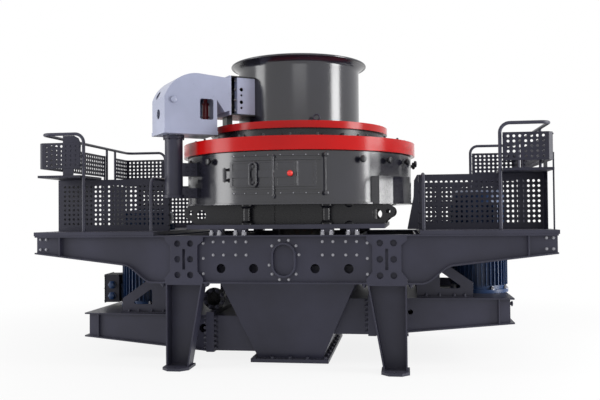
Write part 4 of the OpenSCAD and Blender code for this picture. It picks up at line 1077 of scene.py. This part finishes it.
@dataclass
class Studio:
    """Camera, lamps, floor and world."""

    camera_place: tuple[float, float, float] = (1.127, -7.790, 1.462)
    yaw: float = 8.21
    pitch: float = 1.18
    roll: float = -0.493
    lens: float = 43.2
    floor_size: float = 40.0
    ambient: float = 0.6

    def camera(self) -> None:
        """Makes the camera: it looks along the turned +Y axis, then rolls about that line."""
        yaw, pitch, roll = (math.radians(a) for a in (self.yaw, self.pitch, self.roll))
        forward = Vector((-math.sin(yaw) * math.cos(pitch), math.cos(yaw) * math.cos(pitch),
                          math.sin(pitch)))
        level = forward.cross(Vector(UP)).normalized()
        rise = level.cross(forward)
        across = level * math.cos(roll) + rise * math.sin(roll)
        above = rise * math.cos(roll) - level * math.sin(roll)
        data = bpy.data.cameras.new("camera")
        data.lens = self.lens
        data.sensor_width = 36.0
        made = bpy.data.objects.new("camera", data)
        turn = Matrix((across, above, -forward)).transposed().to_4x4()
        made.matrix_world = Matrix.Translation(self.camera_place) @ turn
        bpy.context.scene.collection.objects.link(made)
        bpy.context.scene.camera = made

    def lamp(self, name: str, place: Sequence[float], aim: Sequence[float], size: Sequence[float],
             power: float) -> None:
        """Adds a rectangular area lamp.

        Args:
            name: its name.
            place: where it stands.
            aim: the point it faces.
            size: its width and height.
            power: its power in watts.
        """
        data = bpy.data.lights.new(name, "AREA")
        data.shape = "RECTANGLE"
        data.size, data.size_y = size
        data.energy = power
        made = bpy.data.objects.new(name, data)
        made.location = place
        made.rotation_euler = (Vector(aim) - Vector(place)).to_track_quat("-Z", "Y").to_euler()
        bpy.context.scene.collection.objects.link(made)

    def seen(self, graph: Graph) -> Wire:
        """Returns 1 for rays from the camera, mirrors and glass, else 0."""
        path = graph.tree.nodes.new("ShaderNodeLightPath")
        parts = [Wire(graph, path.outputs[name])
                 for name in ("Is Camera Ray", "Is Glossy Ray", "Is Transmission Ray")]
        return (parts[0] + parts[1] + parts[2]).clamped()

    def world(self) -> None:
        """Makes a world that looks white and lights the machine gently."""
        made = bpy.data.worlds.new("studio")
        made.use_nodes = True
        bpy.context.scene.world = made
        graph = Graph(made.node_tree)
        strength = self.ambient + (1.0 - self.ambient) * self.seen(graph)
        sky = graph.node("ShaderNodeBackground", {}, {"Color": (1, 1, 1, 1), "Strength": strength})
        graph.finish(sky, "ShaderNodeOutputWorld")

    def floor(self) -> None:
        """Makes a pale floor that keeps a soft shadow and runs into the white background."""
        half = self.floor_size / 2
        surface = grid(np.array([[(-half, -half, 0), (half, -half, 0)],
                                 [(-half, half, 0), (half, half, 0)]], float) - UP * 0.001)
        mesh = bpy.data.meshes.new("floor")
        mesh.from_pydata(surface.points.tolist(), [], surface.faces)
        made = bpy.data.objects.new("floor", mesh)
        bpy.context.scene.collection.objects.link(made)
        material = bpy.data.materials.new("floor")
        material.use_nodes = True
        graph = Graph(material.node_tree)
        matte = graph.node("ShaderNodeBsdfDiffuse", {}, {"Color": rgba((0.88, 0.88, 0.88))})
        white = graph.node("ShaderNodeEmission", {}, {"Color": (1, 1, 1, 1), "Strength": 1.0})
        reach = graph.node("ShaderNodeVectorMath", {"operation": "LENGTH"}, {0: graph.place()},
                           "Value")
        fade = 0.85 + 0.15 * reach.ramp(3.0, 6.5)
        graph.finish(graph.node("ShaderNodeMixShader", {}, {0: self.seen(graph) * fade, 1: matte,
                                                            2: white}))
        mesh.materials.append(material)

    def build(self) -> None:
        """Sets up the whole studio."""
        scene = bpy.context.scene
        scene.view_settings.view_transform = "Standard"
        self.camera()
        self.world()
        self.floor()
        middle = (0.0, 0.0, 1.6)
        self.lamp("right_strip", (6.4, -1.4, 2.2), middle, (2.0, 4.6), 330.0)
        self.lamp("left_strip", (-6.0, -2.8, 2.2), middle, (2.2, 4.6), 150.0)
        self.lamp("front", (1.6, -9.0, 5.4), middle, (4.0, 2.4), 40.0)
        self.lamp("top", (0.0, -1.0, 8.0), middle, (5.0, 4.0), 40.0)
        LOG.info("studio ready")


def paint_nodes(frame: dict[str, Any]) -> None:
    """Gives every CAD node the finish of its slot.
    """
    for entry in frame["record"]["subparts"]:
        mesh = frame["nodes"][entry["node"]].data
        mesh.materials.clear()
        mesh.materials.append(SLOTS[entry["material_slot"]].material())
    LOG.info("%d nodes painted", len(frame["nodes"]))


def main() -> None:
    """Loads the frame, paints it, adds every sub-assembly and sets up the studio."""
    logging.basicConfig(level=logging.INFO, format="%(name)s: %(message)s")
    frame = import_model()
    paint_nodes(frame)
    for part in (Girders(), Chamber(), Lid(), Drive(), Hatch(), Jib(), Decks(), Discharge()):
        part.dress()
    Studio().build()


if __name__ == "__main__":
    main()
